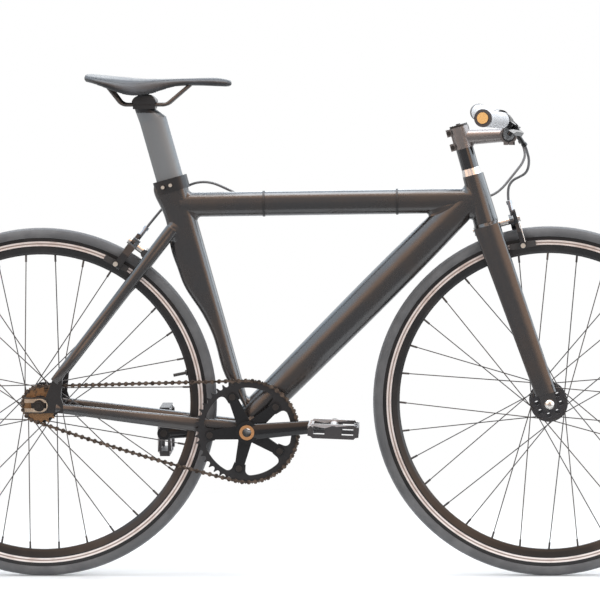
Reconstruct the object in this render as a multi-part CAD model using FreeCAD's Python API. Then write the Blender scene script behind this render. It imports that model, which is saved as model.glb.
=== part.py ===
import FreeCAD, Part
import math
import os

# Layout of the bicycle, in millimetres and degrees.  +X is forward, +Y is the rider's left, +Z is up,
# and the origin lies on the ground midway between the two axles.
wheelbase = 969.0
tyre_radius = 335.0
bottom_bracket_drop = 52.7
seat_angle = 74.46
head_angle = 74.5
fork_length = 362.6
fork_rake = 24.0

# Clearances and allowances
running_clearance = 0.05
seat_clearance = 0.02
face_clearance = 0.3
guard_clearance = 0.5
cut_overrun = 2.0

# Chain drive
chain_pitch = 12.7
chain_links = 96
chainring_teeth = 48
cog_teeth = 17
chain_sag = 5.0
chain_line = 42.5
roller_radius = 3.875
roller_seat_clearance = 0.2
chain_inner_width = 3.4
chain_plate = 1.0
chain_plate_gap = 0.08
chain_plate_radius = 4.1
chain_waist_share = 0.44
chain_pin_radius = 1.8
chain_pin_stub = 0.5
tooth_height = 3.2
tooth_tip = 1.7
tooth_root_angle = 75.0
sprocket_thickness = 2.6

# Head tube, headset and steerer
head_tube_length = 93.5
head_bottom_front = 25.0
head_bottom_back = 22.5
head_bottom_half_width = 22.0
head_top_front = 22.0
head_top_back = 18.5
head_top_half_width = 20.0
head_bore_radius = 15.0
steerer_radius = 14.3
steerer_wall = 2.8
bearing_outer_radius = 17.0
bearing_height = 7.0
top_cover_height = 13.0
top_cover_radius = 18.4
spacer_radius = 16.8
spacer_height = 13.3
spacer_count = 3

# Main tubes: top tube, down tube, seat tube and bottom bracket shell
tube_wall = 1.8
top_tube_half_depth = 23.5
top_tube_half_width = 19.0
top_tube_rear_height = 715.0
top_tube_front_height = 719.5
down_tube_half_depth = 31.5
down_tube_half_width = 23.0
down_tube_lower_half_depth = 29.0
down_tube_offset = 13.0
down_tube_head_drop = 62.0
seat_tube_length = 503.0
seat_tube_front = 14.5
seat_tube_back = 47.4
seat_tube_foot_half_width = 15.0
seat_tube_top_half_width = 17.5
seat_tube_top_front = 16.3
shell_radius = 20.0
shell_width = 68.0
shell_bore_radius = 17.0
seat_station_shares = (0.0, 0.209, 0.36, 0.4125, 0.454, 0.523, 0.592, 0.645, 0.70, 0.77, 0.90, 1.0)
seat_back_shares = (0.29, 0.29, 0.331, 0.386, 0.473, 0.688, 0.903, 0.958, 1.0, 0.98, 0.94, 0.90)

# Stays, dropouts and brake bridge
stay_top_distance = 409.5
stay_top_offset = 33.8
seatstay_top_half_depth = 12.5
seatstay_foot_half_depth = 8.8
seatstay_top_half_width = 8.0
seatstay_foot_half_width = 6.5
seatstay_top_side = 13.0
seatstay_foot_forward = 29.4
seatstay_foot_rise = 45.0
seatstay_tyre_gap = 6.5
chainstay_root_half_depth = 16.0
chainstay_foot_half_depth = 9.0
chainstay_root_half_width = 8.5
chainstay_foot_half_width = 6.5
chainstay_root_side = 25.0
chainstay_foot_forward = 31.5
chainstay_foot_drop = 5.5
rear_hub_width = 120.0
dropout_thickness = 7.0
dropout_half_height = 15.0
dropout_insert_thickness = 2.0
dropout_insert_half_height = 11.5
dropout_insert_front = 16.0
dropout_insert_back = 26.0
bridge_radius = 8.0
bridge_setback = 12.0
bridge_along = 69.0
seatstay_bend_share = 0.2
seatstay_station_shares = (0.0, 0.1, 0.2, 0.35, 0.6, 1.0)
chainstay_bend_share = 0.21
chainstay_station_shares = (0.0, 0.1, 0.21, 0.45, 0.7, 1.0)
chainstay_bend_side = 28.5
down_tube_station_shares = (0.0, 0.35, 0.8, 1.0)
down_tube_neck_half_depth = 27.0
down_tube_neck_half_width = 18.5
seat_cavity_first = 1
seat_cavity_last = 6
dropout_lug = 14.0

# Seatpost
post_half_chord = 25.9
post_half_width = 13.4
post_offset = 13.1
post_insert = 118.0
post_travel = 60.0
post_clearance = 0.15
brake_bolt_radius = 3.0
dropout_back = 28.0
dropout_slot_front = 14.0
dropout_bay = 12.0
dropout_shoulder = 12.0
axle_clearance = 0.3

# Seat clamp: a collar round the back of the seat tube's top, drawn up by two bolts
seat_clamp_height = 25.0
seat_clamp_wall = 3.5
seat_clamp_gap = 0.4
seat_clamp_front = 6.0
seat_clamp_bolt_radius = 3.4
seat_clamp_bolt_head = 3.0
seat_clamp_bolt_spacing = 15.0
seat_clamp_bolt_setback = 14.0

# Wheels
tyre_width = 26.0
tyre_wall = 2.2
tube_gap = 0.4
inner_tube_wall = 0.9
bead_height = 7.0
bead_thickness = 2.6
rim_edge_radius = 316.0
rim_inner_radius = 284.0
rim_width = 20.0
rim_wall = 1.7
rim_bed_radius = 308.5
rim_track_radius = 298.0
rim_shoulder_radius = 288.5
rim_shoulder_half_width = 6.5
rim_nose_half_width = 4.0
valve_radius = 3.0
valve_reach = 27.0
valve_nut_radius = 5.6
valve_nut_height = 3.0
spoke_count = 32
spoke_crosses = 3
spoke_radius = 1.0
spoke_head_radius = 1.9
spoke_head_height = 1.0
spoke_stagger = 1.5
nipple_radius = 2.0
nipple_length = 13.0
nipple_head_radius = 3.0
nipple_head_height = 1.5
nipple_seat = 3.4
flange_radius = 35.8
flange_thickness = 3.2
spoke_circle_radius = 32.0
spoke_hole_clearance = 0.2
flange_window_count = 8
flange_window_radius = 4.6
flange_window_circle = 23.0
barrel_radius = 15.0
hub_boss_radius = 17.4
hub_bore_radius = 9.0
hub_bearing_radius = 13.0
hub_bearing_width = 8.0
front_flange_side = 33.0
front_hub_end = 41.0
rear_flange_side = 30.0
rear_hub_end = 50.0
front_spoke_phase = 0.2
rear_spoke_phase = 5.85
front_valve_angle = 28.325
rear_valve_angle = 11.475

# Axles, nuts and fork ends
rear_axle_radius = 5.0
rear_axle_end = 83.0
rear_axle_tip = 2.4
rear_axle_tip_radius = 4.6
front_axle_radius = 4.5
front_hub_width = 100.0
fork_end_thickness = 7.0
locknut_radius = 8.5
axle_washer_radius = 11.0
axle_washer_thickness = 1.8
axle_nut_flats = 15.0
axle_nut_height = 9.0
front_bolt_radius = 10.0
front_bolt_height = 8.0
front_bolt_socket_flats = 6.0
front_bolt_socket_depth = 4.0

# Cog and lockring
cog_body_radius = 27.0
cog_body_width = 7.0
lockring_radius = 20.5
lockring_width = 4.0
lockring_notches = 6
lockring_notch_radius = 2.2

# Bottom bracket, cranks and chainring
crank_angle = 5.0
crank_length = 167.5
spindle_radius = 12.0
spindle_bore = 9.5
cup_flange_radius = 19.5
cup_flange_width = 3.0
cup_depth = 12.0
crank_boss_radius = 21.5
crank_boss_face = 62.0
crank_root_half_height = 15.5
crank_root_half_width = 6.8
crank_eye_half_height = 11.5
crank_eye_half_width = 6.6
crank_eye_radius = 12.5
crank_eye_inner = 60.0
crank_eye_outer = 74.0
crank_flare = 10.5
spider_arms = 5
bolt_circle_radius = 72.0
spider_thickness = 6.0
spider_root_half_width = 13.0
spider_root_radius = 16.0
spider_tip_half_width = 8.5
ring_inner_radius = 63.5
ring_window_radius = 84.0
ring_window_corner = 9.0
ring_window_half_angle = 26.0
ring_bolt_radius = 5.0
ring_bolt_head_radius = 6.3
ring_bolt_head = 1.4
crank_bolt_radius = 14.2
crank_bolt_bore = 8.5
crank_bolt_height = 2.4
left_crank_start = 40.0

# Pedals
pedal_thread_radius = 7.1
pedal_collar_radius = 8.5
pedal_collar = 3.0
pedal_shaft_radius = 5.5
pedal_inner = 88.0
pedal_outer = 185.0
pedal_length = 95.0
pedal_height = 27.0
pedal_end_plate = 6.0
pedal_bar = 10.0
pedal_bar_height = 19.0
pedal_corner = 9.0
pedal_barrel_radius = 11.0
pedal_cap = 6.0
pedal_window_height = 12.0
pedal_window_margin = 5.0
pedal_pin_radius = 2.0
pedal_pin_height = 2.2
pedal_pins_each = 3
right_pedal_tilt = -2.5
left_pedal_tilt = 90.0

# Fork: an aero crown on the steerer and two straight blades
crown_depth = 20.0
crown_half_width = 34.5
crown_front = 25.0
crown_back = 26.0
crown_bolt_drop = 10.0
blade_start = 6.0
blade_top_half_chord = 25.5
blade_end_half_chord = 19.5
blade_top_half_width = 8.0
blade_end_half_width = 5.5
blade_station_shares = (0.0, 0.3, 0.6, 0.85, 1.0)
blade_tyre_gap = 5.5
blade_end_rise = 20.0
blade_lead = 40.0
fork_end_radius = 15.0
fork_end_half_chord = 15.0

# Stem and top cap
stem_height = 42.0
stem_length = 88.8
stem_angle = 2.9
stem_clamp_radius = 18.6
stem_root_half_height = 15.5
stem_root_half_width = 17.0
stem_tip_half_height = 12.5
stem_tip_half_width = 15.0
bar_clamp_radius = 16.6
bar_clamp_half_width = 22.0
bar_clamp_ear = 18.6
bar_clamp_ear_half_length = 9.0
faceplate_gap = 1.2
face_bolt_radius = 2.2
face_bolt_head_radius = 3.6
face_bolt_head = 3.0
face_bolt_height = 15.4
face_bolt_side = 14.0
pinch_ear = 26.0
pinch_ear_half_width = 9.0
pinch_slit = 1.4
pinch_lug_half_height = 7.0
pinch_bolt_radius = 2.5
pinch_bolt_head_radius = 4.0
pinch_bolt_head = 4.0
pinch_bolt_inset = 7.0
pinch_bolt_setback = 21.6
top_cap_radius = 17.2
top_cap_height = 4.0
top_bolt_radius = 4.2
top_bolt_height = 2.0
steerer_shortfall = 3.0

# Handlebar, grips and bar ends
bar_radius = 11.1
bar_bore = 9.1
bar_sleeve_radius = 12.7
bar_sleeve_half_width = 27.0
bar_flat = 32.0
bar_bend_side = 85.0
bar_bend_back = 2.5
bar_rise = 28.0
bar_end_side = 265.0
bar_end_back = 53.0
bar_end_rise = 38.0
bar_bend_radius = 45.0
grip_length = 135.0
grip_radius = 15.6
grip_ring_radius = 16.6
grip_ring_width = 5.0
bar_plug_radius = 10.4
bar_plug_height = 2.4

# Brake levers
lever_clamp_gap = 8.0
lever_clamp_width = 14.0
lever_clamp_radius = 15.4
lever_aim = -32.0
lever_arm = 27.0
lever_body_half_width = 8.5
lever_body_half_height = 7.0
lever_pivot_radius = 2.5
lever_pivot_half_height = 8.5
lever_fork_gap = 0.35
lever_eye_radius = 6.5
lever_half_height = 4.0
lever_blade_reach = 46.0
lever_knuckle = 16.0
lever_blade_length = 96.0
lever_blade_half_width = 4.0
lever_tip_half_width = 5.5
lever_tip_reach = 50.0
adjuster_radius = 4.0
adjuster_length = 46.0
adjuster_collar_radius = 5.5
adjuster_collar = 5.0
adjuster_aim = -57.0
adjuster_turn_in = 0.35
adjuster_root = 20.0

# Brake calipers
brake_front_standoff = 45.5
brake_rear_standoff = 21.5
brake_layer = 7.0
brake_layer_gap = 0.8
brake_eye_radius = 11.5
brake_leg_side = 28.0
brake_leg_half_width = 5.5
brake_bow_side = 27.5
brake_bow_drop = 24.0
brake_shoulder_side = 19.0
brake_shoulder_drop = 7.0
brake_shoulder_half_width = 6.8
brake_horn_side = 29.0
brake_horn_rise = 15.0
brake_horn_half_width = 5.6
brake_anchor_side = 26.0
brake_anchor_drop = 2.0
brake_anchor_radius = 3.2
brake_anchor_length = 4.0
brake_barrel_radius = 3.8
brake_barrel_low = 10.0
brake_barrel_high = 39.0
brake_barrel_knob_radius = 5.2
brake_barrel_knob = 7.0
brake_shoulder_radius = 7.0
brake_nut_radius = 6.5
brake_nut_height = 5.0
brake_back_nut_radius = 5.0
brake_back_nut_height = 6.0
brake_bolt_back = 27.0
brake_spring_radius = 0.9
brake_spring_share = 0.9
pad_radius = 304.0
pad_length = 50.0
pad_height = 11.0
pad_clearance = 1.6
pad_bolt_head_radius = 4.6
pad_bolt_head = 4.0

# Seatpost head and saddle
post_shaft_top = 618.6
post_wall = 2.6
post_head_half_length = 20.0
post_head_half_width = 16.0
rail_height = 904.5
rail_radius = 3.5
rail_half_spacing = 22.0
rail_rear_side = 31.0
rail_nose_side = 9.0
rail_rear_reach = 33.0
rail_nose_reach = 51.0
rail_end_rise = 43.0
rail_straight = 85.0
rail_bend_radius = 18.0
rail_setback = 7.0
cradle_half_length = 21.0
cradle_half_width = 29.0
cradle_height = 8.0
cradle_gap = 0.5
clamp_plate_height = 7.0
clamp_bolt_radius = 2.6
clamp_bolt_head_radius = 4.4
clamp_bolt_head = 4.0
clamp_bolt_reach = 14.0
saddle_length = 279.0
saddle_tail = -396.8
saddle_width = 141.0
saddle_top_height = 955.0
saddle_depth = 31.0
saddle_skin = 11.0
saddle_base = 3.0
saddle_station_shares = (0.0, 0.04, 0.15, 0.27, 0.38, 0.50, 0.64, 0.80, 0.94, 1.0)
saddle_width_shares = (0.40, 0.76, 1.0, 0.93, 0.70, 0.46, 0.335, 0.295, 0.25, 0.13)
saddle_top_shares = (0.18, 0.26, 0.18, 0.08, 0.0, -0.02, 0.0, 0.02, -0.05, -0.20)
saddle_low_shares = (-0.16, -0.32, -0.62, -0.88, -0.93, -0.76, -0.54, -0.52, -0.56, -0.50)
saddle_crown_share = 0.45

# Cables: housings, their ties, and the places they pass, chosen by hand along their real routes
cable_radius = 2.5
bend_run_share = 0.45
cable_tie_width = 4.5
cable_tie_thickness = 1.3
cable_tie_places = (-57.5, 196.5)
cable_on_tube_side = 20.8
cable_on_tube_rise = 8.0
cable_end_gap = 0.8
front_cable_places = ((444.1, -97.3, 807.9), (445.1, -85.9, 789.5), (440.5, -71.3, 774.4),
                      (428.8, -55.0, 766.6), (414.3, -40.8, 759.3), (405.7, -31.4, 742.3))
loop_places = ((444.5, 97.2, 807.3), (438.8, 86.1, 788.9), (426.1, 76.5, 773.2), (412.7, 68.0, 757.2),
               (399.2, 59.8, 741.2), (383.0, 50.6, 728.8), (363.7, 40.6, 723.5), (343.3, 31.3, 723.7),
               (322.1, 24.0, 725.7))
cable_join = 300.0
cable_lift_off = -90.0
rear_cable_places = ((-128.0, 21.5, 742.0), (-160.0, 22.5, 756.0), (-192.0, 24.5, 755.0),
                     (-220.0, 26.5, 739.0), (-244.0, 28.5, 715.0), (-264.0, 29.0, 693.0))

os.makedirs("parts", exist_ok=True)
Vector = FreeCAD.Vector
across = Vector(0, 1, 0)
upward = Vector(0, 0, 1)
oval_points = 16


def radians(angle):
    return angle * math.pi / 180.0


def save(name, solids):
    """Write one node: a solid, or a compound where the node is a set of like pieces."""
    if not isinstance(solids, (list, tuple)):
        solids = [solids]
    pieces = []
    for solid in solids:
        pieces.extend(solid.Solids)
    shape = pieces[0] if len(pieces) == 1 else Part.makeCompound(pieces)
    shape.exportStep("parts/" + name + ".step")
    volume = sum(piece.Volume for piece in pieces)
    valid = all(piece.isValid() for piece in pieces)
    print(f"{name}: {len(pieces)} solid(s), {volume / 1000.0:.2f} cm3, valid {valid}")


def rod(start, end, radius):
    """A plain round bar between two points."""
    run = end - start
    return Part.makeCylinder(radius, run.Length, start, run)


def pipe(start, end, radius, bore):
    return rod(start, end, radius).cut(rod(start, end, bore))


def plate(corners, thickness):
    """Extrude a closed polygon of points by a vector."""
    return Part.Face(Part.makePolygon(corners + corners[:1])).extrude(thickness)


def oval(centre, fore, side, front, back, half_width):
    """A closed smooth curve that reaches front and back along fore, and half_width along side."""
    points = []
    for step in range(oval_points):
        angle = 2 * math.pi * step / oval_points
        reach = front if math.cos(angle) > 0 else back
        points.append(centre + fore * (reach * math.cos(angle)) + side * (half_width * math.sin(angle)))
    curve = Part.BSplineCurve()
    curve.interpolate(Points=points, PeriodicFlag=True)
    return Part.Wire([curve.toShape()])


def lofted(stations):
    """Solid through oval stations, each (centre, fore, side, front, back, half_width)."""
    return Part.makeLoft([oval(*station) for station in stations], True, False)


def tube_pair(stations, wall):
    """The outside of a lofted tube, and the space inside its wall, which runs out at both ends."""
    inner = [(c, f, s, front - wall, back - wall, half - wall) for c, f, s, front, back, half in stations]
    return lofted(stations), lofted(inner)


def route(points, bend=None):
    """Straight runs joined by tangent arcs: one bend radius, or each as large as its two runs allow."""
    edges = []
    radii = []
    start = points[0]
    for before, corner, after in zip(points, points[1:], points[2:]):
        back = before - corner
        ahead = after - corner
        half_turn = 0.5 * (math.pi - back.getAngle(ahead))
        radius = bend
        if bend is None:
            radius = bend_run_share * min(back.Length, ahead.Length) / math.tan(half_turn)
        radii.append(radius)
        back.normalize()
        ahead.normalize()
        inward = back + ahead
        inward.normalize()
        reach = radius * math.tan(half_turn)
        middle = corner + inward * (radius / math.cos(half_turn) - radius)
        edges.append(Part.LineSegment(start, corner + back * reach).toShape())
        edges.append(Part.Arc(corner + back * reach, middle, corner + ahead * reach).toShape())
        start = corner + ahead * reach
    edges.append(Part.LineSegment(start, points[-1]).toShape())
    return Part.Wire(edges), radii


def swept(points, radius, bend=None):
    """A round tube along a route."""
    wire, radii = route(points, bend)
    first = points[1] - points[0]
    circle = Part.Wire([Part.Circle(points[0], first, radius).toShape()])
    return wire.makePipeShell([circle], True, False), wire.Length, radii


def mirrored(shape):
    """The same piece on the other side of the bicycle."""
    return shape.mirror(Vector(0, 0, 0), across)


def turned_copy(shape, centre, angle, axis=across):
    copy = shape.copy()
    copy.rotate(centre, axis, angle)
    return copy

# Points and directions that the pieces share
rear_axle = Vector(-0.5 * wheelbase, 0, tyre_radius)
front_axle = Vector(0.5 * wheelbase, 0, tyre_radius)
seat_up = Vector(-math.cos(radians(seat_angle)), 0, math.sin(radians(seat_angle)))
seat_fore = Vector(math.sin(radians(seat_angle)), 0, math.cos(radians(seat_angle)))
steer_up = Vector(-math.cos(radians(head_angle)), 0, math.sin(radians(head_angle)))
steer_fore = Vector(math.sin(radians(head_angle)), 0, math.cos(radians(head_angle)))
crown = front_axle + steer_up * fork_length - steer_fore * fork_rake

# The chain sets the distance between the sprockets: its pins are laid out on both pitch circles and
# along the upper run, and what is left hangs in a shallow arc below.
ring_pitch_radius = 0.5 * chain_pitch / math.sin(math.pi / chainring_teeth)
cog_pitch_radius = 0.5 * chain_pitch / math.sin(math.pi / cog_teeth)
ring_step = 2 * math.pi / chainring_teeth
cog_step = 2 * math.pi / cog_teeth


def polar(radius, angle):
    return Vector(radius * math.cos(angle), 0, radius * math.sin(angle))


def heading(vector):
    return math.atan2(vector.z, vector.x)


def chain_layout(distance):
    """Pins about the bracket as origin, the sprockets' phases, and how far the lower run is too long."""
    axle_angle = math.pi - math.asin(bottom_bracket_drop / distance)
    axle = polar(distance, axle_angle)
    half_wrap = math.acos((ring_pitch_radius - cog_pitch_radius) / distance)
    upper = axle_angle - half_wrap
    lower = axle_angle + half_wrap
    straight = distance * math.sin(half_wrap)
    first = polar(ring_pitch_radius, upper)
    along = polar(chain_pitch, upper + 0.5 * math.pi)
    top_run = [first + along * step for step in range(int(straight / chain_pitch) + 1)]
    back = top_run[-1] - axle
    bite = (back.Length ** 2 + cog_pitch_radius ** 2 - chain_pitch ** 2)
    cog_phase = heading(back) + math.acos(bite / (2 * back.Length * cog_pitch_radius))
    on_cog = int((lower - cog_phase) / cog_step)
    cog_pins = [axle + polar(cog_pitch_radius, cog_phase + cog_step * step) for step in range(on_cog + 1)]
    on_ring = int((2 * math.pi - 2 * half_wrap) / ring_step)
    ring_pins = [polar(ring_pitch_radius, upper - ring_step * step) for step in range(on_ring, 0, -1)]
    slack_links = chain_links - len(top_run) - on_cog - on_ring
    half_arc = 4 * chain_sag / (slack_links * chain_pitch)
    arc_radius = 0.5 * chain_pitch / math.sin(half_arc / slack_links)
    chord = ring_pins[0] - cog_pins[-1]
    middle = 0.5 * (ring_pins[0] + cog_pins[-1])
    above = polar(1.0, heading(chord) + 0.5 * math.pi)
    hub = middle + above * (arc_radius * math.cos(half_arc))
    base = heading(above) + math.pi - half_arc
    step = 2 * half_arc / slack_links
    slack_pins = [hub + polar(arc_radius, base + step * count) for count in range(1, slack_links)]
    excess = chord.Length - 2 * arc_radius * math.sin(half_arc)
    return top_run + cog_pins + slack_pins + ring_pins, upper, cog_phase, excess


wrapped = 0.5 * (chainring_teeth + cog_teeth)
guess = 0.5 * chain_pitch * (chain_links - wrapped)
shortest, longest = guess - chain_pitch, guess + chain_pitch
for bisection in range(60):
    chainstay_length = 0.5 * (shortest + longest)
    if chain_layout(chainstay_length)[3] > 0:
        longest = chainstay_length
    else:
        shortest = chainstay_length
chain_pins, ring_phase, cog_phase = chain_layout(chainstay_length)[:3]
bracket_reach = math.sqrt(chainstay_length ** 2 - bottom_bracket_drop ** 2)
bracket = rear_axle + Vector(bracket_reach, 0, -bottom_bracket_drop)
print(f"chainstay length {chainstay_length:.2f}, chain pins {len(chain_pins)}, bracket {bracket}")


def on_seat(along, offset, side=0.0):
    """A point by its distance up the seat tube from the bracket, forward of its axis, and to the left."""
    return bracket + seat_up * along + seat_fore * offset + across * side


def on_steer(along, offset, side=0.0):
    """A point by its distance up the steering axis from the fork crown, forward of it, and to the left."""
    return crown + steer_up * along + steer_fore * offset + across * side


# Head tube: an aero nose in front, bored for the steerer, with a bearing seat at each end
head_outer = lofted([
    (on_steer(0, 0), steer_fore, across, head_bottom_front, head_bottom_back, head_bottom_half_width),
    (on_steer(head_tube_length, 0), steer_fore, across, head_top_front, head_top_back, head_top_half_width),
])
head_tube = head_outer.cut(rod(on_steer(-cut_overrun, 0), on_steer(head_tube_length + cut_overrun, 0),
                               head_bore_radius))
seat_radius = bearing_outer_radius + seat_clearance
bearing_seats = [(0.0, bearing_height), (head_tube_length - bearing_height, head_tube_length)]
headset_bearings = []
for low, high in bearing_seats:
    head_tube = head_tube.cut(rod(on_steer(low, 0), on_steer(high, 0), seat_radius))
    headset_bearings.append(pipe(on_steer(low, 0), on_steer(high, 0), bearing_outer_radius,
                                 steerer_radius + running_clearance))
save("head_tube", head_tube)
save("headset_bearings", headset_bearings)

# Bottom bracket shell
half_shell = across * (0.5 * shell_width)
shell_outer = rod(bracket - half_shell, bracket + half_shell, shell_radius)
shell_bore = rod(bracket - half_shell, bracket + half_shell, shell_bore_radius)
save("bottom_bracket_shell", shell_outer.cut(shell_bore))

# Seat tube: slender and round at the foot, deep and aero above, with a cut-out round the rear wheel
seat_stations = []
for share, back_share in zip(seat_station_shares, seat_back_shares):
    front = seat_tube_front + (seat_tube_top_front - seat_tube_front) * share
    half = seat_tube_foot_half_width + (seat_tube_top_half_width - seat_tube_foot_half_width) * share
    seat_stations.append((on_seat(seat_tube_length * share, 0), seat_fore, across, front,
                          seat_tube_back * back_share, half))
seat_outer = lofted(seat_stations)
seat_cavity = tube_pair(seat_stations[seat_cavity_first:seat_cavity_last + 1], tube_wall)[1]
post_bore_depth = post_insert + post_travel + cut_overrun
post_bore = Part.Face(oval(on_seat(seat_tube_length - post_bore_depth, -post_offset), seat_fore, across,
                           post_half_chord + post_clearance, post_half_chord + post_clearance,
                           post_half_width + post_clearance))
post_bore = post_bore.extrude(seat_up * (post_bore_depth + cut_overrun))
seat_tube = seat_outer.cut(seat_cavity).cut(post_bore).cut(shell_outer)
save("seat_tube", seat_tube)

# Top tube, nearly level, from the seat tube to the head tube
top_rear = on_seat((top_tube_rear_height - bracket.z) / seat_up.z, -0.5 * seat_tube_front)
top_front = on_steer((top_tube_front_height - crown.z) / steer_up.z, 0)
top_run = top_front - top_rear
top_run.normalize()
top_rise = across.cross(-top_run)
top_stations = [(end, top_rise, across, top_tube_half_depth, top_tube_half_depth, top_tube_half_width)
                for end in (top_rear, top_front)]
top_outer, top_space = tube_pair(top_stations, tube_wall)
top_tube = top_outer.cut(top_space).cut(seat_outer).cut(head_outer)
save("top_tube", top_tube)

# Down tube, the deepest of the three, from the bracket shell to the head tube
down_head = on_steer(down_tube_head_drop, 0)
down_lean = down_head - bracket
down_lean.normalize()
down_back = across.cross(-down_lean)
down_foot = bracket + down_back * down_tube_offset
down_run = down_head - down_foot
down_span = down_run.Length
down_run.normalize()
down_back = across.cross(-down_run)
down_depths = (down_tube_lower_half_depth, down_tube_half_depth, down_tube_half_depth,
               down_tube_neck_half_depth)
down_widths = (down_tube_half_width, down_tube_half_width, down_tube_half_width, down_tube_neck_half_width)
down_table = list(zip(down_tube_station_shares, down_depths, down_widths))
down_stations = [(down_foot + down_run * (down_span * share), down_back, across, depth, depth, width)
                 for share, depth, width in down_table]
down_outer, down_space = tube_pair(down_stations, tube_wall)
block = seat_tube_length
behind_seat = Part.makeBox(block, block, block, Vector(-block, -0.5 * block, -0.5 * block))
behind_seat.Placement = FreeCAD.Placement(bracket, FreeCAD.Rotation(across, seat_angle - 90.0))
above_top = Part.makeBox(block, block, block, top_front - Vector(block, 0.5 * block, 0))
down_outer = down_outer.cut(behind_seat).cut(above_top)
down_tube = down_outer.cut(down_space).cut(shell_outer).cut(seat_outer).cut(head_outer).cut(top_outer)
pieces = sorted(down_tube.Solids, key=lambda piece: piece.Volume)
save("down_tube", pieces[-1])


def side_at(share, root, bend_share, bend, foot):
    """How far a stay stands from the middle plane: one bend between its root and its foot."""
    if share < bend_share:
        return root + (bend - root) * share / bend_share
    return bend + (foot - bend) * (share - bend_share) / (1 - bend_share)


# Seatstays, beside the tyre from the seat tube to the dropouts
dropout_side = 0.5 * (rear_hub_width + dropout_thickness)
stay_top = on_seat(stay_top_distance, -stay_top_offset)
stay_foot = rear_axle + Vector(seatstay_foot_forward, 0, seatstay_foot_rise)
stay_run = stay_foot - stay_top
stay_span = stay_run.Length
stay_run.normalize()
stay_back = across.cross(stay_run)
stay_bend_side = 0.5 * tyre_width + seatstay_tyre_gap + seatstay_top_half_width
stations = []
for share in seatstay_station_shares:
    depth = seatstay_top_half_depth + (seatstay_foot_half_depth - seatstay_top_half_depth) * share
    width = seatstay_top_half_width + (seatstay_foot_half_width - seatstay_top_half_width) * share
    side = side_at(share, seatstay_top_side, seatstay_bend_share, stay_bend_side, dropout_side)
    stations.append((stay_top + stay_run * (stay_span * share) + across * side, stay_back, across,
                     depth, depth, width))
seatstay_outer = lofted(stations)
seatstay = seatstay_outer.cut(seat_outer)
save("seatstays", [mirrored(seatstay), seatstay])

# Chainstays, deep at the bracket shell, between the tyre and the chainring
chain_foot = rear_axle + Vector(chainstay_foot_forward, 0, -chainstay_foot_drop)
chain_run = chain_foot - bracket
chain_span = chain_run.Length
chain_run.normalize()
chain_rise = across.cross(chain_run)
stations = []
for share in chainstay_station_shares:
    depth = chainstay_root_half_depth + (chainstay_foot_half_depth - chainstay_root_half_depth) * share
    width = chainstay_root_half_width + (chainstay_foot_half_width - chainstay_root_half_width) * share
    side = side_at(share, chainstay_root_side, chainstay_bend_share, chainstay_bend_side, dropout_side)
    stations.append((bracket + chain_run * (chain_span * share) + across * side, chain_rise, across,
                     depth, depth, width))
chainstay_outer = lofted(stations)
bracket_room = across * (0.5 * shell_width + cup_flange_width + cut_overrun)
bracket_barrel = rod(bracket - bracket_room, bracket + bracket_room, shell_radius)
chainstay = chainstay_outer.cut(bracket_barrel).cut(seat_outer).cut(down_outer)
chainstay = sorted(chainstay.Solids, key=lambda piece: piece.Volume)[-1]
save("chainstays", [mirrored(chainstay), chainstay])

# Dropouts: plates between the stays' feet, each slotted rearward for the axle, with a thin bare insert
dropout_inner = 0.5 * rear_hub_width
foot_up = stay_run * -dropout_lug
foot_side = stay_back * seatstay_foot_half_depth
upper_lug = Vector(seatstay_foot_forward, 0, seatstay_foot_rise) + foot_up
lug_front = chainstay_foot_forward + dropout_lug
outline = [
    Vector(-dropout_back, 0, -dropout_half_height),
    Vector(lug_front, 0, -chainstay_foot_drop - chainstay_foot_half_depth),
    Vector(lug_front, 0, chainstay_foot_half_depth - chainstay_foot_drop),
    Vector(seatstay_foot_forward + dropout_bay, 0, dropout_half_height),
    upper_lug - foot_side,
    upper_lug + foot_side,
    Vector(dropout_shoulder, 0, dropout_half_height),
    Vector(-dropout_back, 0, dropout_half_height),
]
at_inner = rear_axle + across * dropout_inner
dropout = plate([at_inner + corner for corner in outline], across * dropout_thickness)
slot_half = rear_axle_radius + axle_clearance
slot_length = dropout_back + dropout_slot_front + cut_overrun
slot_width = dropout_thickness + dropout_insert_thickness + 2 * cut_overrun
slot = Part.makeBox(slot_length, slot_width, 2 * slot_half,
                    at_inner + Vector(dropout_slot_front - slot_length, -cut_overrun, -slot_half))
dropout = dropout.cut(slot).cut(seatstay_outer).cut(chainstay_outer)
dropout = sorted(dropout.Solids, key=lambda piece: piece.Volume)[-1]
insert = Part.makeBox(dropout_insert_front + dropout_insert_back, dropout_insert_thickness,
                      2 * dropout_insert_half_height,
                      at_inner + Vector(-dropout_insert_back, dropout_thickness, -dropout_insert_half_height))
insert = insert.cut(slot).cut(seatstay_outer).cut(chainstay_outer)
save("dropouts", [mirrored(dropout), dropout, mirrored(insert), insert])

# Brake bridge between the seatstays, bored for the rear brake's bolt
bridge_middle = stay_top + stay_run * bridge_along + stay_back * bridge_setback
bridge = rod(bridge_middle - across * stay_bend_side, bridge_middle + across * stay_bend_side, bridge_radius)
bridge = bridge.cut(seatstay_outer).cut(mirrored(seatstay_outer))
bore_reach = stay_back * (bridge_radius + cut_overrun)
bridge = bridge.cut(rod(bridge_middle - bore_reach, bridge_middle + bore_reach,
                        brake_bolt_radius + seat_clearance))
bridge = sorted(bridge.Solids, key=lambda piece: piece.Volume)[-1]
save("brake_bridge", bridge)

# Seat clamp
collar_reach = seat_clamp_gap + seat_clamp_wall
collar_low = seat_tube_length - seat_clamp_height


def collar_oval(along, margin):
    share = along / seat_tube_length
    back = seat_tube_back * seat_back_shares[-1]
    return (on_seat(along, 0), seat_fore, across, seat_tube_top_front + margin, back + margin,
            seat_tube_top_half_width + margin)


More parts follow.
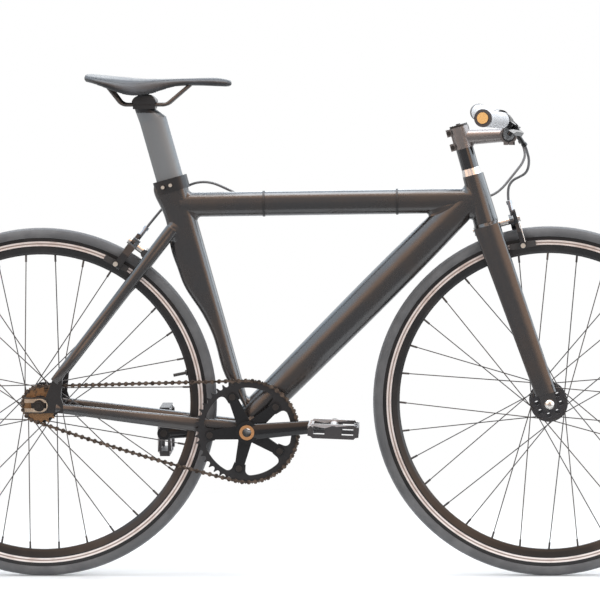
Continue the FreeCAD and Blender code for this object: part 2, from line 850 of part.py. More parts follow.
collar = lofted([collar_oval(collar_low, collar_reach), collar_oval(seat_tube_length, collar_reach)])
hollow = lofted([collar_oval(collar_low - cut_overrun, seat_clamp_gap),
                 collar_oval(seat_tube_length + cut_overrun, seat_clamp_gap)])
front_half = Part.makeBox(block, block, block, Vector(-seat_clamp_front, -0.5 * block, -0.5 * block))
front_half.Placement = FreeCAD.Placement(bracket, FreeCAD.Rotation(across, seat_angle - 90.0))
front_cut = front_half.copy()
collar = collar.cut(hollow).cut(seat_outer).cut(front_cut)
collar = sorted(collar.Solids, key=lambda piece: piece.Volume)[-1]
bolts = []
clamp_side = seat_tube_top_half_width + collar_reach
for step in (0, 1):
    setback = seat_clamp_bolt_setback + step * seat_clamp_bolt_spacing
    seat = on_seat(seat_tube_length - 0.5 * seat_clamp_height, -setback, -clamp_side - seat_clamp_bolt_head)
    tip = on_seat(seat_tube_length - 0.5 * seat_clamp_height, -setback, -seat_tube_top_half_width)
    bolt = rod(seat, tip, seat_clamp_bolt_radius).cut(seat_outer)
    collar = collar.cut(bolt)
    bolts.append(sorted(bolt.Solids, key=lambda piece: piece.Volume)[-1])
save("seat_clamp", [collar] + bolts)


def ring_of(points, arcs, centre):
    """Revolve a closed outline of (radius, side) corners; arcs maps a corner to the mid point of its edge."""
    edges = []
    for index, corner in enumerate(points):
        after = points[(index + 1) % len(points)]
        start, end = [centre + Vector(radius, side, 0) for radius, side in (corner, after)]
        if index in arcs:
            radius, side = arcs[index]
            edges.append(Part.Arc(start, centre + Vector(radius, side, 0), end).toShape())
        else:
            edges.append(Part.LineSegment(start, end).toShape())
    return Part.Face(Part.Wire(edges)).revolve(centre, across, 360)


def both_sides(half):
    """A closed outline from its left half, listed from the outside in."""
    return half + [(radius, -side) for radius, side in reversed(half)]


half_rim = 0.5 * rim_width
flange_inside = half_rim - rim_wall
carcass_radius = 0.5 * tyre_width
carcass_centre = tyre_radius - carcass_radius
tyre_foot_radius = rim_edge_radius + face_clearance
tyre_foot_side = math.sqrt(carcass_radius ** 2 - (carcass_centre - tyre_foot_radius) ** 2)
bead_side = flange_inside - face_clearance
bead_inside = bead_side - bead_thickness
bead_low = tyre_foot_radius - bead_height
carcass_inside = carcass_radius - tyre_wall
cavity_top = carcass_centre + carcass_inside
cavity_gain = cavity_top ** 2 - tyre_foot_radius ** 2 - bead_inside ** 2
cavity_centre = 0.5 * cavity_gain / (cavity_top - tyre_foot_radius)
cavity_radius = cavity_top - cavity_centre


def make_tyre(axle):
    half = [(tyre_foot_radius, tyre_foot_side), (tyre_foot_radius, bead_side), (bead_low, bead_side),
            (bead_low, bead_inside), (tyre_foot_radius, bead_inside)]
    outline = both_sides(half)
    arcs = {4: (cavity_top, 0.0), 9: (tyre_radius, 0.0)}
    return ring_of(outline, arcs, axle)


def make_inner_tube(axle, angle):
    """The tube, and its valve through the rim with a nut against the rim's nose."""
    outside = cavity_radius - tube_gap
    tube = Part.makeTorus(cavity_centre, outside, axle, across)
    tube = tube.cut(Part.makeTorus(cavity_centre, outside - inner_tube_wall, axle, across))
    out = polar(1.0, radians(angle))
    nut_top = rim_inner_radius - face_clearance
    valve = rod(axle + out * (rim_inner_radius - valve_reach),
                axle + out * (cavity_centre - outside - running_clearance), valve_radius)
    nut = rod(axle + out * (nut_top - valve_nut_height), axle + out * nut_top, valve_nut_radius)
    return [tube, valve.fuse(nut)]


def spoke_ends(axle, flange_side, sense, rim_angle):
    """Hub end, rim end and side of the flange for one spoke; sense is +1 leading and -1 trailing."""
    lead = sense * spoke_crosses * 4 * math.pi / spoke_count
    outside = 1 if flange_side > 0 else -1
    shift = sense * outside * (0.5 * flange_thickness + spoke_radius + running_clearance)
    hub_end = axle + polar(spoke_circle_radius, rim_angle + lead) + across * (flange_side + shift)
    rim_end = axle + polar(rim_inner_radius, rim_angle) + across * (outside * spoke_stagger)
    return hub_end, rim_end, sense * outside


def make_spokes(axle, flange_side, sense, rim_angle):
    """One spoke with its head and elbow, its nipple, and the drills for the flange and the rim."""
    hub_end, rim_end, facing = spoke_ends(axle, flange_side, sense, rim_angle)
    run = rim_end - hub_end
    run.normalize()
    far_face = flange_side - facing * (0.5 * flange_thickness + running_clearance)
    head_base = Vector(hub_end.x, far_face, hub_end.z)
    head_top = head_base - across * (facing * spoke_head_height)
    spoke = rod(hub_end, rim_end, spoke_radius)
    spoke = spoke.fuse([rod(hub_end, head_base, spoke_radius), Part.makeSphere(spoke_radius, hub_end),
                        rod(head_base, head_top, spoke_head_radius)])
    seat = rim_end + run * nipple_seat
    nipple = rod(rim_end - run * nipple_length, seat, nipple_radius)
    nipple = nipple.fuse(rod(seat, seat + run * nipple_head_height, nipple_head_radius))
    nipple = nipple.cut(rod(hub_end, seat + run * nipple_head_height, spoke_radius + seat_clearance))
    eyelet = rod(hub_end + across * cut_overrun * facing, head_base - across * cut_overrun * facing,
                 spoke_radius + spoke_hole_clearance)
    groove = rod(hub_end - run * spoke_radius, hub_end + run * flange_radius,
                 spoke_radius + 2 * spoke_hole_clearance)
    drill = rod(rim_end - run * nipple_seat, seat, nipple_radius + spoke_hole_clearance)
    return spoke, nipple, eyelet, groove, drill


def make_wheel(name, axle, flange_place, hub_end, phase, valve_angle, axle_radius):
    """Save the tyre, inner tube, rim, spokes and hub of one wheel."""
    save(name + "_tyre", make_tyre(axle))
    save(name + "_inner_tube", make_inner_tube(axle, valve_angle))
    pitch = 4 * math.pi / spoke_count
    spokes, nipples, eyelets, grooves, drills = [], [], [], [], []
    for offset, side in ((0.0, -flange_place), (0.5 * pitch, flange_place)):
        for group, sense in enumerate((1, -1)):
            pattern = make_spokes(axle, side, sense, radians(phase) + offset + group * pitch)
            for turn in range(spoke_count // 4):
                angle = -turn * 4 * 360.0 / spoke_count
                for shape, bin_ in zip(pattern, (spokes, nipples, eyelets, grooves, drills)):
                    bin_.append(turned_copy(shape, axle, angle))
    save(name + "_spokes", spokes + nipples)

    half = [(rim_edge_radius, flange_inside), (rim_edge_radius, half_rim), (rim_track_radius, half_rim),
            (rim_shoulder_radius, rim_shoulder_half_width), (rim_inner_radius, rim_nose_half_width)]
    outline = half + [(radius, -side) for radius, side in reversed(half)]
    outline += [(rim_bed_radius, -flange_inside), (rim_bed_radius, flange_inside)]
    rim = ring_of(outline, {}, axle)
    chamber = [(rim_bed_radius - rim_wall, flange_inside), (rim_track_radius, flange_inside),
               (rim_shoulder_radius + rim_wall, rim_shoulder_half_width - rim_wall),
               (rim_inner_radius + rim_wall, rim_nose_half_width - 0.5 * rim_wall)]
    rim = rim.cut(ring_of(both_sides(chamber), {}, axle))
    out = polar(1.0, radians(valve_angle))
    valve_hole = rod(axle + out * (rim_inner_radius - cut_overrun), axle + out * rim_edge_radius,
                     valve_radius + face_clearance)
    save(name + "_rim", rim.cut(drills + [valve_hole]))

    outer = flange_place + 0.5 * flange_thickness
    inner = flange_place - 0.5 * flange_thickness
    half = [(hub_bore_radius, hub_end), (hub_boss_radius, hub_end), (hub_boss_radius, outer),
            (flange_radius, outer), (flange_radius, inner), (barrel_radius, inner)]
    hub = ring_of(both_sides(half), {}, axle)
    windows = []
    for count in range(flange_window_count):
        middle = axle + polar(flange_window_circle, 2 * math.pi * count / flange_window_count)
        windows.append(rod(middle - across * hub_end, middle + across * hub_end, flange_window_radius))
    hub = hub.cut(windows)
    for drill in eyelets + grooves:
        hub = hub.cut(drill)
    hub = sorted(hub.Solids, key=lambda piece: piece.Volume)[-1]
    bearings = []
    for sign in (-1, 1):
        seat_low = axle + across * (sign * (hub_end - hub_bearing_width))
        seat_high = axle + across * (sign * hub_end)
        hub = hub.cut(rod(seat_low, seat_high, hub_bearing_radius + seat_clearance))
        bearings.append(pipe(seat_low, seat_high, hub_bearing_radius, axle_radius + running_clearance))
    save(name + "_hub", [hub] + bearings)


make_wheel("front", front_axle, front_flange_side, front_hub_end, front_spoke_phase, front_valve_angle,
           front_axle_radius)
make_wheel("rear", rear_axle, rear_flange_side, rear_hub_end, rear_spoke_phase, rear_valve_angle,
           rear_axle_radius)


def hex_prism(base, top, flats):
    """A six-sided bar between two points on one axis across the bicycle."""
    corner = flats / math.sqrt(3)
    corners = [base + polar(corner, math.pi * side / 3) for side in range(6)]
    return plate(corners, top - base)


# Rear axle with its locknuts, and the track nuts with their washers
locknut_start = rear_hub_end + face_clearance
tip_start = rear_axle_end - rear_axle_tip
rear_half = [(rear_axle_tip_radius, rear_axle_end), (rear_axle_tip_radius, tip_start),
             (rear_axle_radius, tip_start), (rear_axle_radius, dropout_inner),
             (locknut_radius, dropout_inner), (locknut_radius, locknut_start),
             (rear_axle_radius, locknut_start)]
rear_outline = [(0.0, rear_axle_end)] + both_sides(rear_half) + [(0.0, -rear_axle_end)]
save("rear_axle", ring_of(rear_outline, {}, rear_axle))
nuts = []
washer_low = dropout_inner + dropout_thickness + dropout_insert_thickness
for sign in (-1, 1):
    washer_base = rear_axle + across * (sign * washer_low)
    nut_base = washer_base + across * (sign * axle_washer_thickness)
    nut_top = nut_base + across * (sign * axle_nut_height)
    hole = rod(washer_base, nut_top, rear_axle_radius + seat_clearance)
    nuts.append(rod(washer_base, nut_base, axle_washer_radius).cut(hole))
    nuts.append(hex_prism(nut_base, nut_top, axle_nut_flats).cut(hole))
save("rear_axle_nuts", nuts)

# Front axle with its locknuts, and a domed bolt at each fork end
fork_inner = 0.5 * front_hub_width
fork_outer = fork_inner + fork_end_thickness
locknut_start = front_hub_end + face_clearance
front_half = [(front_axle_radius, fork_outer), (front_axle_radius, fork_inner), (locknut_radius, fork_inner),
              (locknut_radius, locknut_start), (front_axle_radius, locknut_start)]
front_outline = [(0.0, fork_outer)] + both_sides(front_half) + [(0.0, -fork_outer)]
bolts = []
for sign in (-1, 1):
    base = front_axle + across * (sign * fork_outer)
    top = base + across * (sign * front_bolt_height)
    sphere = (front_bolt_radius ** 2 + front_bolt_height ** 2) / (2 * front_bolt_height)
    dome = Part.makeSphere(sphere, top - across * (sign * sphere))
    bolt = dome.common(rod(base, top, front_bolt_radius))
    bolts.append(bolt.cut(hex_prism(top - across * (sign * front_bolt_socket_depth), top + across * sign,
                                    front_bolt_socket_flats)))
save("front_axle", [ring_of(front_outline, {}, front_axle)] + bolts)


def sprocket(teeth, pitch_radius, phase):
    """Outline of a toothed wheel about the origin: round seats for the rollers between tapered teeth."""
    seat = roller_radius + roller_seat_clearance
    root = radians(tooth_root_angle)
    step = 2 * math.pi / teeth
    tip_radius = pitch_radius + tooth_height
    half_tip = 0.5 * tooth_tip / tip_radius
    edges = []
    for count in range(teeth):
        angle = phase + count * step
        middle = polar(pitch_radius, angle)
        start = middle + polar(seat, angle + math.pi + root)
        end = middle + polar(seat, angle + math.pi - root)
        low_tip = polar(tip_radius, angle + 0.5 * step - half_tip)
        high_tip = polar(tip_radius, angle + 0.5 * step + half_tip)
        following = polar(pitch_radius, angle + step) + polar(seat, angle + step + math.pi + root)
        edges.append(Part.Arc(start, middle + polar(seat, angle + math.pi), end).toShape())
        edges.append(Part.LineSegment(end, low_tip).toShape())
        edges.append(Part.LineSegment(low_tip, high_tip).toShape())
        edges.append(Part.LineSegment(high_tip, following).toShape())
    return Part.Face(Part.Wire(edges))


# Fixed cog and its lockring, both threaded on the hub
cog = sprocket(cog_teeth, cog_pitch_radius, cog_phase)
cog.translate(rear_axle - across * (chain_line + 0.5 * sprocket_thickness))
cog = cog.extrude(across * sprocket_thickness)
cog_low = rear_axle - across * (chain_line + 0.5 * cog_body_width)
cog_high = rear_axle - across * (chain_line - 0.5 * cog_body_width)
cog = cog.fuse(rod(cog_low, cog_high, cog_body_radius))
cog_bore = rod(cog_low - across * cut_overrun, cog_high + across * cut_overrun,
               hub_boss_radius + seat_clearance)
lockring_end = cog_low - across * lockring_width
lockring = pipe(lockring_end, cog_low, lockring_radius, hub_boss_radius + seat_clearance)
notch_step = 2 * math.pi / lockring_notches
notch_places = [polar(lockring_radius, notch_step * count) for count in range(lockring_notches)]
notches = [rod(lockring_end + place, cog_low + place, lockring_notch_radius) for place in notch_places]
save("rear_cog", [cog.cut(cog_bore), lockring.cut(notches)])


def along_y(place, centre):
    """A point on an axis across the bicycle: negative places are on the drive side."""
    return Vector(centre.x, place, centre.z)


# Bottom bracket: a cup with its bearing in each end of the shell, and the spindle through both
half_width = 0.5 * shell_width
cup_half = [(spindle_radius + running_clearance, half_width + cup_flange_width),
            (cup_flange_radius, half_width + cup_flange_width), (cup_flange_radius, half_width),
            (shell_bore_radius - seat_clearance, half_width),
            (shell_bore_radius - seat_clearance, half_width - cup_depth),
            (spindle_radius + running_clearance, half_width - cup_depth)]
cup = ring_of(cup_half, {}, bracket)
save("bottom_bracket_bearings", [mirrored(cup), cup])
save("crank_spindle", pipe(along_y(-crank_boss_face, bracket), along_y(crank_boss_face, bracket),
                           spindle_radius, spindle_bore))

# Chainring
ring_outer_face = -chain_line - 0.5 * sprocket_thickness
ring_inner_face = -chain_line + 0.5 * sprocket_thickness
chainring = sprocket(chainring_teeth, ring_pitch_radius, ring_phase)
chainring.translate(along_y(ring_outer_face, bracket))
chainring = chainring.extrude(across * sprocket_thickness)
chainring = chainring.cut(rod(along_y(ring_outer_face - cut_overrun, bracket),
                              along_y(ring_inner_face + cut_overrun, bracket), ring_inner_radius))

# Right crank: boss, arm and five spider arms, one of them opposite the crank arm
spider_face = ring_outer_face - seat_clearance
spider_outer = spider_face - spider_thickness
spider_step = 2 * math.pi / spider_arms
crank_heading = radians(crank_angle)
spider_angles = [crank_heading + (count + 0.5) * spider_step for count in range(spider_arms)]


def crank_arm(side, direction, boss_inner):
    """A boss on the spindle, a flared arm and an eye for the pedal; side is -1 on the drive side."""
    reach = polar(1.0, direction)
    rise = polar(1.0, direction + 0.5 * math.pi)
    eye = bracket + reach * crank_length
    eye_side = 0.5 * (crank_eye_inner + crank_eye_outer)
    arm = lofted([
        (along_y(side * (eye_side - crank_flare), bracket), rise, across, crank_root_half_height,
         crank_root_half_height, crank_root_half_width),
        (along_y(side * eye_side, eye), rise, across, crank_eye_half_height, crank_eye_half_height,
         crank_eye_half_width),
    ])
    boss = rod(along_y(side * boss_inner, bracket), along_y(side * crank_boss_face, bracket),
               crank_boss_radius)
    knuckle = rod(along_y(side * crank_eye_inner, eye), along_y(side * crank_eye_outer, eye),
                  crank_eye_radius)
    bore = rod(along_y(side * (boss_inner - cut_overrun), bracket),
               along_y(side * (crank_boss_face + cut_overrun), bracket), spindle_radius + seat_clearance)
    thread = rod(along_y(side * (crank_eye_inner - cut_overrun), eye),
                 along_y(side * (crank_eye_outer + cut_overrun), eye), pedal_thread_radius + seat_clearance)
    cap_seat = rod(along_y(side * crank_boss_face, bracket),
                   along_y(side * (crank_boss_face + crank_boss_radius), bracket),
                   crank_bolt_radius + seat_clearance)
    return arm.fuse([boss, knuckle]), [bore, thread, cap_seat], eye


def spider_arm(angle):
    out = polar(1.0, angle)
    side = polar(1.0, angle + 0.5 * math.pi)
    start = along_y(spider_face, bracket)
    corners = [start + out * spider_root_radius + side * spider_root_half_width,
               start + out * bolt_circle_radius + side * spider_tip_half_width,
               start + out * bolt_circle_radius - side * spider_tip_half_width,
               start + out * spider_root_radius - side * spider_root_half_width]
    tip = start + out * bolt_circle_radius
    depth = across * -spider_thickness
    return plate(corners, depth).fuse(rod(tip, tip + depth, spider_tip_half_width))


def wedge(middle, half_angle, radius):
    """A slice of a disc that goes through the chainring, about the crank's axis."""
    low = along_y(ring_outer_face - cut_overrun, bracket)
    depth = across * (sprocket_thickness + 2 * cut_overrun)
    reach = radius / math.cos(half_angle)
    corners = [low, low + polar(reach, middle - half_angle), low + polar(reach, middle + half_angle)]
    return plate(corners, depth).common(rod(low, low + depth, radius))


def ring_window(middle):
    """A window between two bolts of the chainring, with round outer corners."""
    half_angle = radians(ring_window_half_angle)
    corner_radius = ring_window_radius - ring_window_corner
    turn = half_angle - math.asin(ring_window_corner / corner_radius)
    flank = math.sqrt(corner_radius ** 2 - ring_window_corner ** 2)
    low = along_y(ring_outer_face - cut_overrun, bracket)
    depth = across * (sprocket_thickness + 2 * cut_overrun)
    corners = []
    for side in (-1, 1):
        place = low + polar(corner_radius, middle + side * turn)
        corners.append(rod(place, place + depth, ring_window_corner))
    return wedge(middle, turn, ring_window_radius).fuse([wedge(middle, half_angle, flank)] + corners)


right_crank_start = half_width + cup_flange_width + guard_clearance
right_arm, right_drills, right_eye = crank_arm(-1, crank_heading, right_crank_start)
right_arm = right_arm.fuse([spider_arm(angle) for angle in spider_angles])
ring_bolts = []
for angle in spider_angles:
    place = bracket + polar(bolt_circle_radius, angle)
    shank = [along_y(spider_outer, place), along_y(ring_inner_face, place)]
    hole = rod(along_y(spider_outer - cut_overrun, place), along_y(ring_inner_face + cut_overrun, place),
               ring_bolt_radius + seat_clearance)
    right_arm = right_arm.cut(hole)
    chainring = chainring.cut(hole)
    heads = [rod(shank[0], shank[0] - across * ring_bolt_head, ring_bolt_head_radius),
             rod(shank[1], shank[1] + across * ring_bolt_head, ring_bolt_head_radius)]
    ring_bolts.append(rod(shank[0], shank[1], ring_bolt_radius).fuse(heads))
save("crank_arm_right", right_arm.cut(right_drills))
for angle in spider_angles:
    chainring = chainring.cut(ring_window(angle + 0.5 * spider_step))
save("chainring", chainring)
save("chainring_bolts", ring_bolts)
left_arm, left_drills, left_eye = crank_arm(1, crank_heading + math.pi, left_crank_start)
save("crank_arm_left", left_arm.cut(left_drills))
cap_end = crank_boss_face + crank_bolt_height
caps = [pipe(along_y(side * crank_boss_face, bracket), along_y(side * cap_end, bracket),
             crank_bolt_radius, crank_bolt_bore) for side in (-1, 1)]
save("crank_bolts", caps)

# Pedals: a spindle in each crank eye, and a platform body that turns on it
pedal_bore_end = pedal_outer - pedal_cap


def pedal_spindle(side, eye):
    outline = [(0.0, crank_eye_inner), (pedal_thread_radius, crank_eye_inner),
               (pedal_thread_radius, crank_eye_outer), (pedal_collar_radius, crank_eye_outer),
               (pedal_collar_radius, crank_eye_outer + pedal_collar),
               (pedal_shaft_radius, crank_eye_outer + pedal_collar),
               (pedal_shaft_radius, pedal_bore_end - face_clearance),
               (0.0, pedal_bore_end - face_clearance)]
    return ring_of([(radius, side * place) for radius, place in outline], {}, Vector(eye.x, 0, eye.z))


def pedal_body(side, eye, tilt):
    """End plates with clipped corners, two bars and a barrel, with grip pins above and below."""
    half_length = 0.5 * pedal_length
    half_height = 0.5 * pedal_height
    middle = Vector(eye.x, 0, eye.z)
    outline = [(half_length, half_height - pedal_corner), (half_length - pedal_corner, half_height),
               (pedal_corner - half_length, half_height), (-half_length, half_height - pedal_corner),
               (-half_length, pedal_corner - half_height), (pedal_corner - half_length, -half_height),
               (half_length - pedal_corner, -half_height), (half_length, pedal_corner - half_height)]
    body = rod(along_y(side * pedal_inner, middle), along_y(side * pedal_outer, middle), pedal_barrel_radius)
    extras = []
    for low in (pedal_inner, pedal_outer - pedal_end_plate):
        corners = [Vector(middle.x + x, side * low, middle.z + z) for x, z in outline]
        extras.append(plate(corners, across * (side * pedal_end_plate)))
    for end in (-1, 1):
        bar_x = middle.x + end * (half_length - 0.5 * pedal_bar) - 0.5 * pedal_bar
        start = min(side * pedal_inner, side * pedal_outer)
        extras.append(Part.makeBox(pedal_bar, pedal_outer - pedal_inner, pedal_bar_height,
                                   Vector(bar_x, start, middle.z - 0.5 * pedal_bar_height)))
        for count in range(pedal_pins_each):
            share = (count + 0.5) / pedal_pins_each
            pin_side = side * (pedal_inner + (pedal_outer - pedal_inner) * share)
            place = Vector(bar_x + 0.5 * pedal_bar, pin_side, middle.z)
            pin_end = upward * (0.5 * pedal_bar_height + pedal_pin_height)
            extras.append(rod(place - pin_end, place + pin_end, pedal_pin_radius))
    bore = rod(along_y(side * (pedal_inner - cut_overrun), middle), along_y(side * pedal_bore_end, middle),
               pedal_shaft_radius + running_clearance)
    window_start = pedal_barrel_radius + pedal_window_margin
    window_length = half_length - pedal_bar - window_start
    windows = []
    for window_x in (window_start, -window_start - window_length):
        window_corner = Vector(middle.x + window_x, min(side * pedal_inner, side * pedal_outer) - cut_overrun,
                               middle.z - 0.5 * pedal_window_height)
        windows.append(Part.makeBox(window_length, pedal_outer - pedal_inner + 2 * cut_overrun,
                                    pedal_window_height, window_corner))
    return turned_copy(body.fuse(extras).cut([bore] + windows), middle, -tilt)


save("pedal_spindles", [pedal_spindle(-1, right_eye), pedal_spindle(1, left_eye)])
save("right_pedal", pedal_body(-1, right_eye, right_pedal_tilt))
save("left_pedal", pedal_body(1, left_eye, left_pedal_tilt))

# Chain: inner links with rollers, and outer links with pins, in turn along the laid-out pins
origin = Vector(0, 0, 0)
pin_step = Vector(chain_pitch, 0, 0)
pin_hole = chain_pin_radius + running_clearance


def link_plate(low):
    """One dog-bone plate from side place low."""
    thickness = across * chain_plate
    waist = chain_plate_radius * chain_waist_share
    start = across * low
    bar = Part.makeBox(chain_pitch, chain_plate, 2 * waist, start - upward * waist)
    return bar.fuse([rod(start, start + thickness, chain_plate_radius),
                     rod(start + pin_step, start + pin_step + thickness, chain_plate_radius)])


inner_face = 0.5 * chain_inner_width
outer_face = inner_face + chain_plate + chain_plate_gap
pin_end = across * (outer_face + chain_plate + chain_pin_stub)
inner_link = link_plate(inner_face).fuse([link_plate(-inner_face - chain_plate)] + [
    rod(end - across * inner_face, end + across * inner_face, roller_radius) for end in (origin, pin_step)])
inner_link = inner_link.cut([rod(end - pin_end, end + pin_end, pin_hole) for end in (origin, pin_step)])
outer_link = link_plate(outer_face).fuse([link_plate(-outer_face - chain_plate)] + [
    rod(end - pin_end, end + pin_end, chain_pin_radius) for end in (origin, pin_step)])
chain_plane = along_y(-chain_line, bracket)
links = []
for count, pin in enumerate(chain_pins):
    following = chain_pins[(count + 1) % len(chain_pins)]
    link = turned_copy((inner_link, outer_link)[count % 2], origin, -math.degrees(heading(following - pin)))
    link.translate(chain_plane + pin)
    links.append(link)
save("chain", links)

# Fork: the crown with the steerer, and two straight aero blades that end in slotted plates
stem_low = head_tube_length + face_clearance + top_cover_height + spacer_count * spacer_height
stem_high = stem_low + stem_height
crown_solid = lofted([
    (on_steer(-guard_clearance, 0), steer_fore, across, head_bottom_front, head_bottom_back,
     head_bottom_half_width),
    (on_steer(-crown_depth, 0), steer_fore, across, crown_front, crown_back, crown_half_width),
])
steerer_top = stem_high - steerer_shortfall
steerer = rod(on_steer(-crown_bolt_drop, 0), on_steer(steerer_top, 0), steerer_radius)
steerer_bore = rod(on_steer(crown_bolt_drop, 0), on_steer(steerer_top + cut_overrun, 0),
                   steerer_radius - steerer_wall)
crown_bolt_hole = rod(on_steer(-crown_bolt_drop, -block), on_steer(-crown_bolt_drop, block),
                      brake_bolt_radius + seat_clearance)
crown_piece = crown_solid.fuse(steerer).cut([steerer_bore, crown_bolt_hole])
fork_end_side = 0.5 * (front_hub_width + fork_end_thickness)
blade_top_side = 0.5 * tyre_width + blade_tyre_gap + blade_top_half_width


def blade_station(along):
    """The blade's oval at a distance below the crown: it leans forward to the axle and out to its end."""
    share = along / fork_length
    foot = min(1.0, along / (fork_length - blade_lead))
    chord = blade_top_half_chord + (blade_end_half_chord - blade_top_half_chord) * share
    width = blade_top_half_width + (blade_end_half_width - blade_top_half_width) * share
    side = blade_top_side + (fork_end_side - blade_top_side) * foot
    return (on_steer(-along, fork_rake * share, side), steer_fore, across, chord, chord, width)


blade_end = fork_length - blade_end_rise
blade_run = blade_end - blade_start
blade = lofted([blade_station(blade_start + blade_run * share) for share in blade_station_shares])
end_inner = front_axle + across * (0.5 * front_hub_width)
end_depth = across * fork_end_thickness
lug_rise = steer_up * (blade_end_rise + fork_end_radius)
end_chord = steer_fore * fork_end_half_chord
end_plate = plate([end_inner - end_chord, end_inner + end_chord, end_inner + end_chord + lug_rise,
                   end_inner - end_chord + lug_rise], end_depth)
end_plate = end_plate.fuse(rod(end_inner, end_inner + end_depth, fork_end_radius))
slot_side = steer_fore * (front_axle_radius + axle_clearance)
slot_drop = steer_up * -(fork_end_radius + cut_overrun)
slot_low = end_inner - across * cut_overrun
end_slot = plate([slot_low - slot_side, slot_low + slot_side, slot_low + slot_side + slot_drop,
                  slot_low - slot_side + slot_drop], across * (fork_end_thickness + 2 * cut_overrun))
end_slot = end_slot.fuse(rod(slot_low, slot_low + across * (fork_end_thickness + 2 * cut_overrun),
                             front_axle_radius + axle_clearance))
blade = blade.cut(crown_solid).fuse(end_plate).cut(end_slot)
blade = sorted(blade.Solids, key=lambda piece: piece.Volume)[-1]
save("fork", [crown_piece, mirrored(blade), blade])

# Headset top cover and spacers under the stem
cover_low = head_tube_length + face_clearance
cover = Part.makeCone(top_cover_radius, spacer_radius, top_cover_height, on_steer(cover_low, 0), steer_up)
stack = [cover.cut(rod(on_steer(cover_low, 0), on_steer(cover_low + top_cover_height, 0),
                       steerer_radius + seat_clearance))]
for count in range(spacer_count):
    low = cover_low + top_cover_height + count * spacer_height
    stack.append(pipe(on_steer(low, 0), on_steer(low + spacer_height, 0), spacer_radius,
                      steerer_radius + seat_clearance))
save("headset_spacers", stack)

# Stem: a split clamp on the steerer, an arm, and a split clamp for the bar with its faceplate
stem_middle = on_steer(stem_low + 0.5 * stem_height, 0)
stem_heading = radians(stem_angle)
stem_run = polar(1.0, stem_heading)
stem_rise = polar(1.0, stem_heading + 0.5 * math.pi)
bar_centre = stem_middle + stem_run * stem_length
arm = lofted([
    (stem_middle, stem_rise, across, stem_root_half_height, stem_root_half_height, stem_root_half_width),
    (bar_centre, stem_rise, across, stem_tip_half_height, stem_tip_half_height, stem_tip_half_width),
])
half_clamp = across * bar_clamp_half_width
bar_clamp = rod(bar_centre - half_clamp, bar_centre + half_clamp, bar_clamp_radius)
ears = Part.makeBox(2 * bar_clamp_ear_half_length, 2 * bar_clamp_half_width, 2 * bar_clamp_ear,
                    bar_centre - Vector(bar_clamp_ear_half_length, bar_clamp_half_width, bar_clamp_ear))
bar_clamp = bar_clamp.fuse(ears)
bar_hole = rod(bar_centre - half_clamp - across * cut_overrun, bar_centre + half_clamp + across * cut_overrun,
               bar_sleeve_radius + seat_clearance)
steer_clamp = rod(on_steer(stem_low, 0), on_steer(stem_high, 0), stem_clamp_radius)
ear_corner = on_steer(stem_low, -pinch_ear, -pinch_ear_half_width)
pinch_ears = plate([ear_corner, ear_corner + steer_fore * pinch_ear,
                    ear_corner + steer_fore * pinch_ear + steer_up * stem_height,
                    ear_corner + steer_up * stem_height], across * (2 * pinch_ear_half_width))
slit_corner = on_steer(stem_low - cut_overrun, -pinch_ear - cut_overrun, -0.5 * pinch_slit)
slit_depth = steer_fore * (pinch_ear + cut_overrun)
slit_height = steer_up * (stem_height + 2 * cut_overrun)
slit = plate([slit_corner, slit_corner + slit_depth, slit_corner + slit_depth + slit_height,
              slit_corner + slit_height], across * pinch_slit)
steerer_hole = rod(on_steer(stem_low - cut_overrun, 0), on_steer(stem_high + cut_overrun, 0),
                   steerer_radius + seat_clearance)
split = Vector(0.5 * faceplate_gap, 0, 0)
reach = 2 * bar_clamp_radius
front_box = Part.makeBox(reach, 2 * reach, 2 * reach, bar_centre + split - Vector(0, reach, reach))
split_box = Part.makeBox(reach, 2 * reach, 2 * reach, bar_centre - split - Vector(0, reach, reach))
front_side = front_box.fuse(split_box)
fasteners = []
face_holes = []
for side in (-face_bolt_side, face_bolt_side):
    for height in (-face_bolt_height, face_bolt_height):
        middle = bar_centre + Vector(0, side, height)
        front_end = middle + Vector(bar_clamp_ear_half_length, 0, 0)
        back_end = middle - Vector(bar_clamp_ear_half_length, 0, 0)
        fasteners.append(rod(back_end, front_end, face_bolt_radius).fuse(
            rod(front_end, front_end + Vector(face_bolt_head, 0, 0), face_bolt_head_radius)))
        face_holes.append(rod(back_end - Vector(cut_overrun, 0, 0), front_end + Vector(cut_overrun, 0, 0),
                              face_bolt_radius + seat_clearance))
        face_holes.append(rod(front_end, front_end + Vector(bar_clamp_radius, 0, 0),
                              face_bolt_head_radius + seat_clearance))
pinch_holes = []
for along in (stem_low + pinch_bolt_inset, stem_high - pinch_bolt_inset):
    near = on_steer(along, -pinch_bolt_setback, -pinch_ear_half_width)
    far = on_steer(along, -pinch_bolt_setback, pinch_ear_half_width)
    fasteners.append(rod(near, far, pinch_bolt_radius).fuse(
        rod(near, near - across * pinch_bolt_head, pinch_bolt_head_radius)))
    pinch_holes.append(rod(near - across * cut_overrun, far + across * cut_overrun,
                           pinch_bolt_radius + seat_clearance))
lug_gap_low = stem_low + pinch_bolt_inset + pinch_lug_half_height
lug_gap_high = stem_high - pinch_bolt_inset - pinch_lug_half_height
gap_corner = on_steer(lug_gap_low, -pinch_ear - cut_overrun, -pinch_ear_half_width - cut_overrun)
gap_depth = steer_fore * (pinch_ear + cut_overrun - stem_clamp_radius)
gap_height = steer_up * (lug_gap_high - lug_gap_low)
gap_corners = [gap_corner, gap_corner + gap_depth, gap_corner + gap_depth + gap_height, gap_corner + gap_height]
lug_gap = plate(gap_corners, across * (2 * (pinch_ear_half_width + cut_overrun)))
stem = steer_clamp.fuse([arm, bar_clamp, pinch_ears.cut(lug_gap)])
stem = stem.cut([steerer_hole, slit, bar_hole, front_side] + face_holes + pinch_holes)
save("stem", sorted(stem.Solids, key=lambda piece: piece.Volume)[-1])
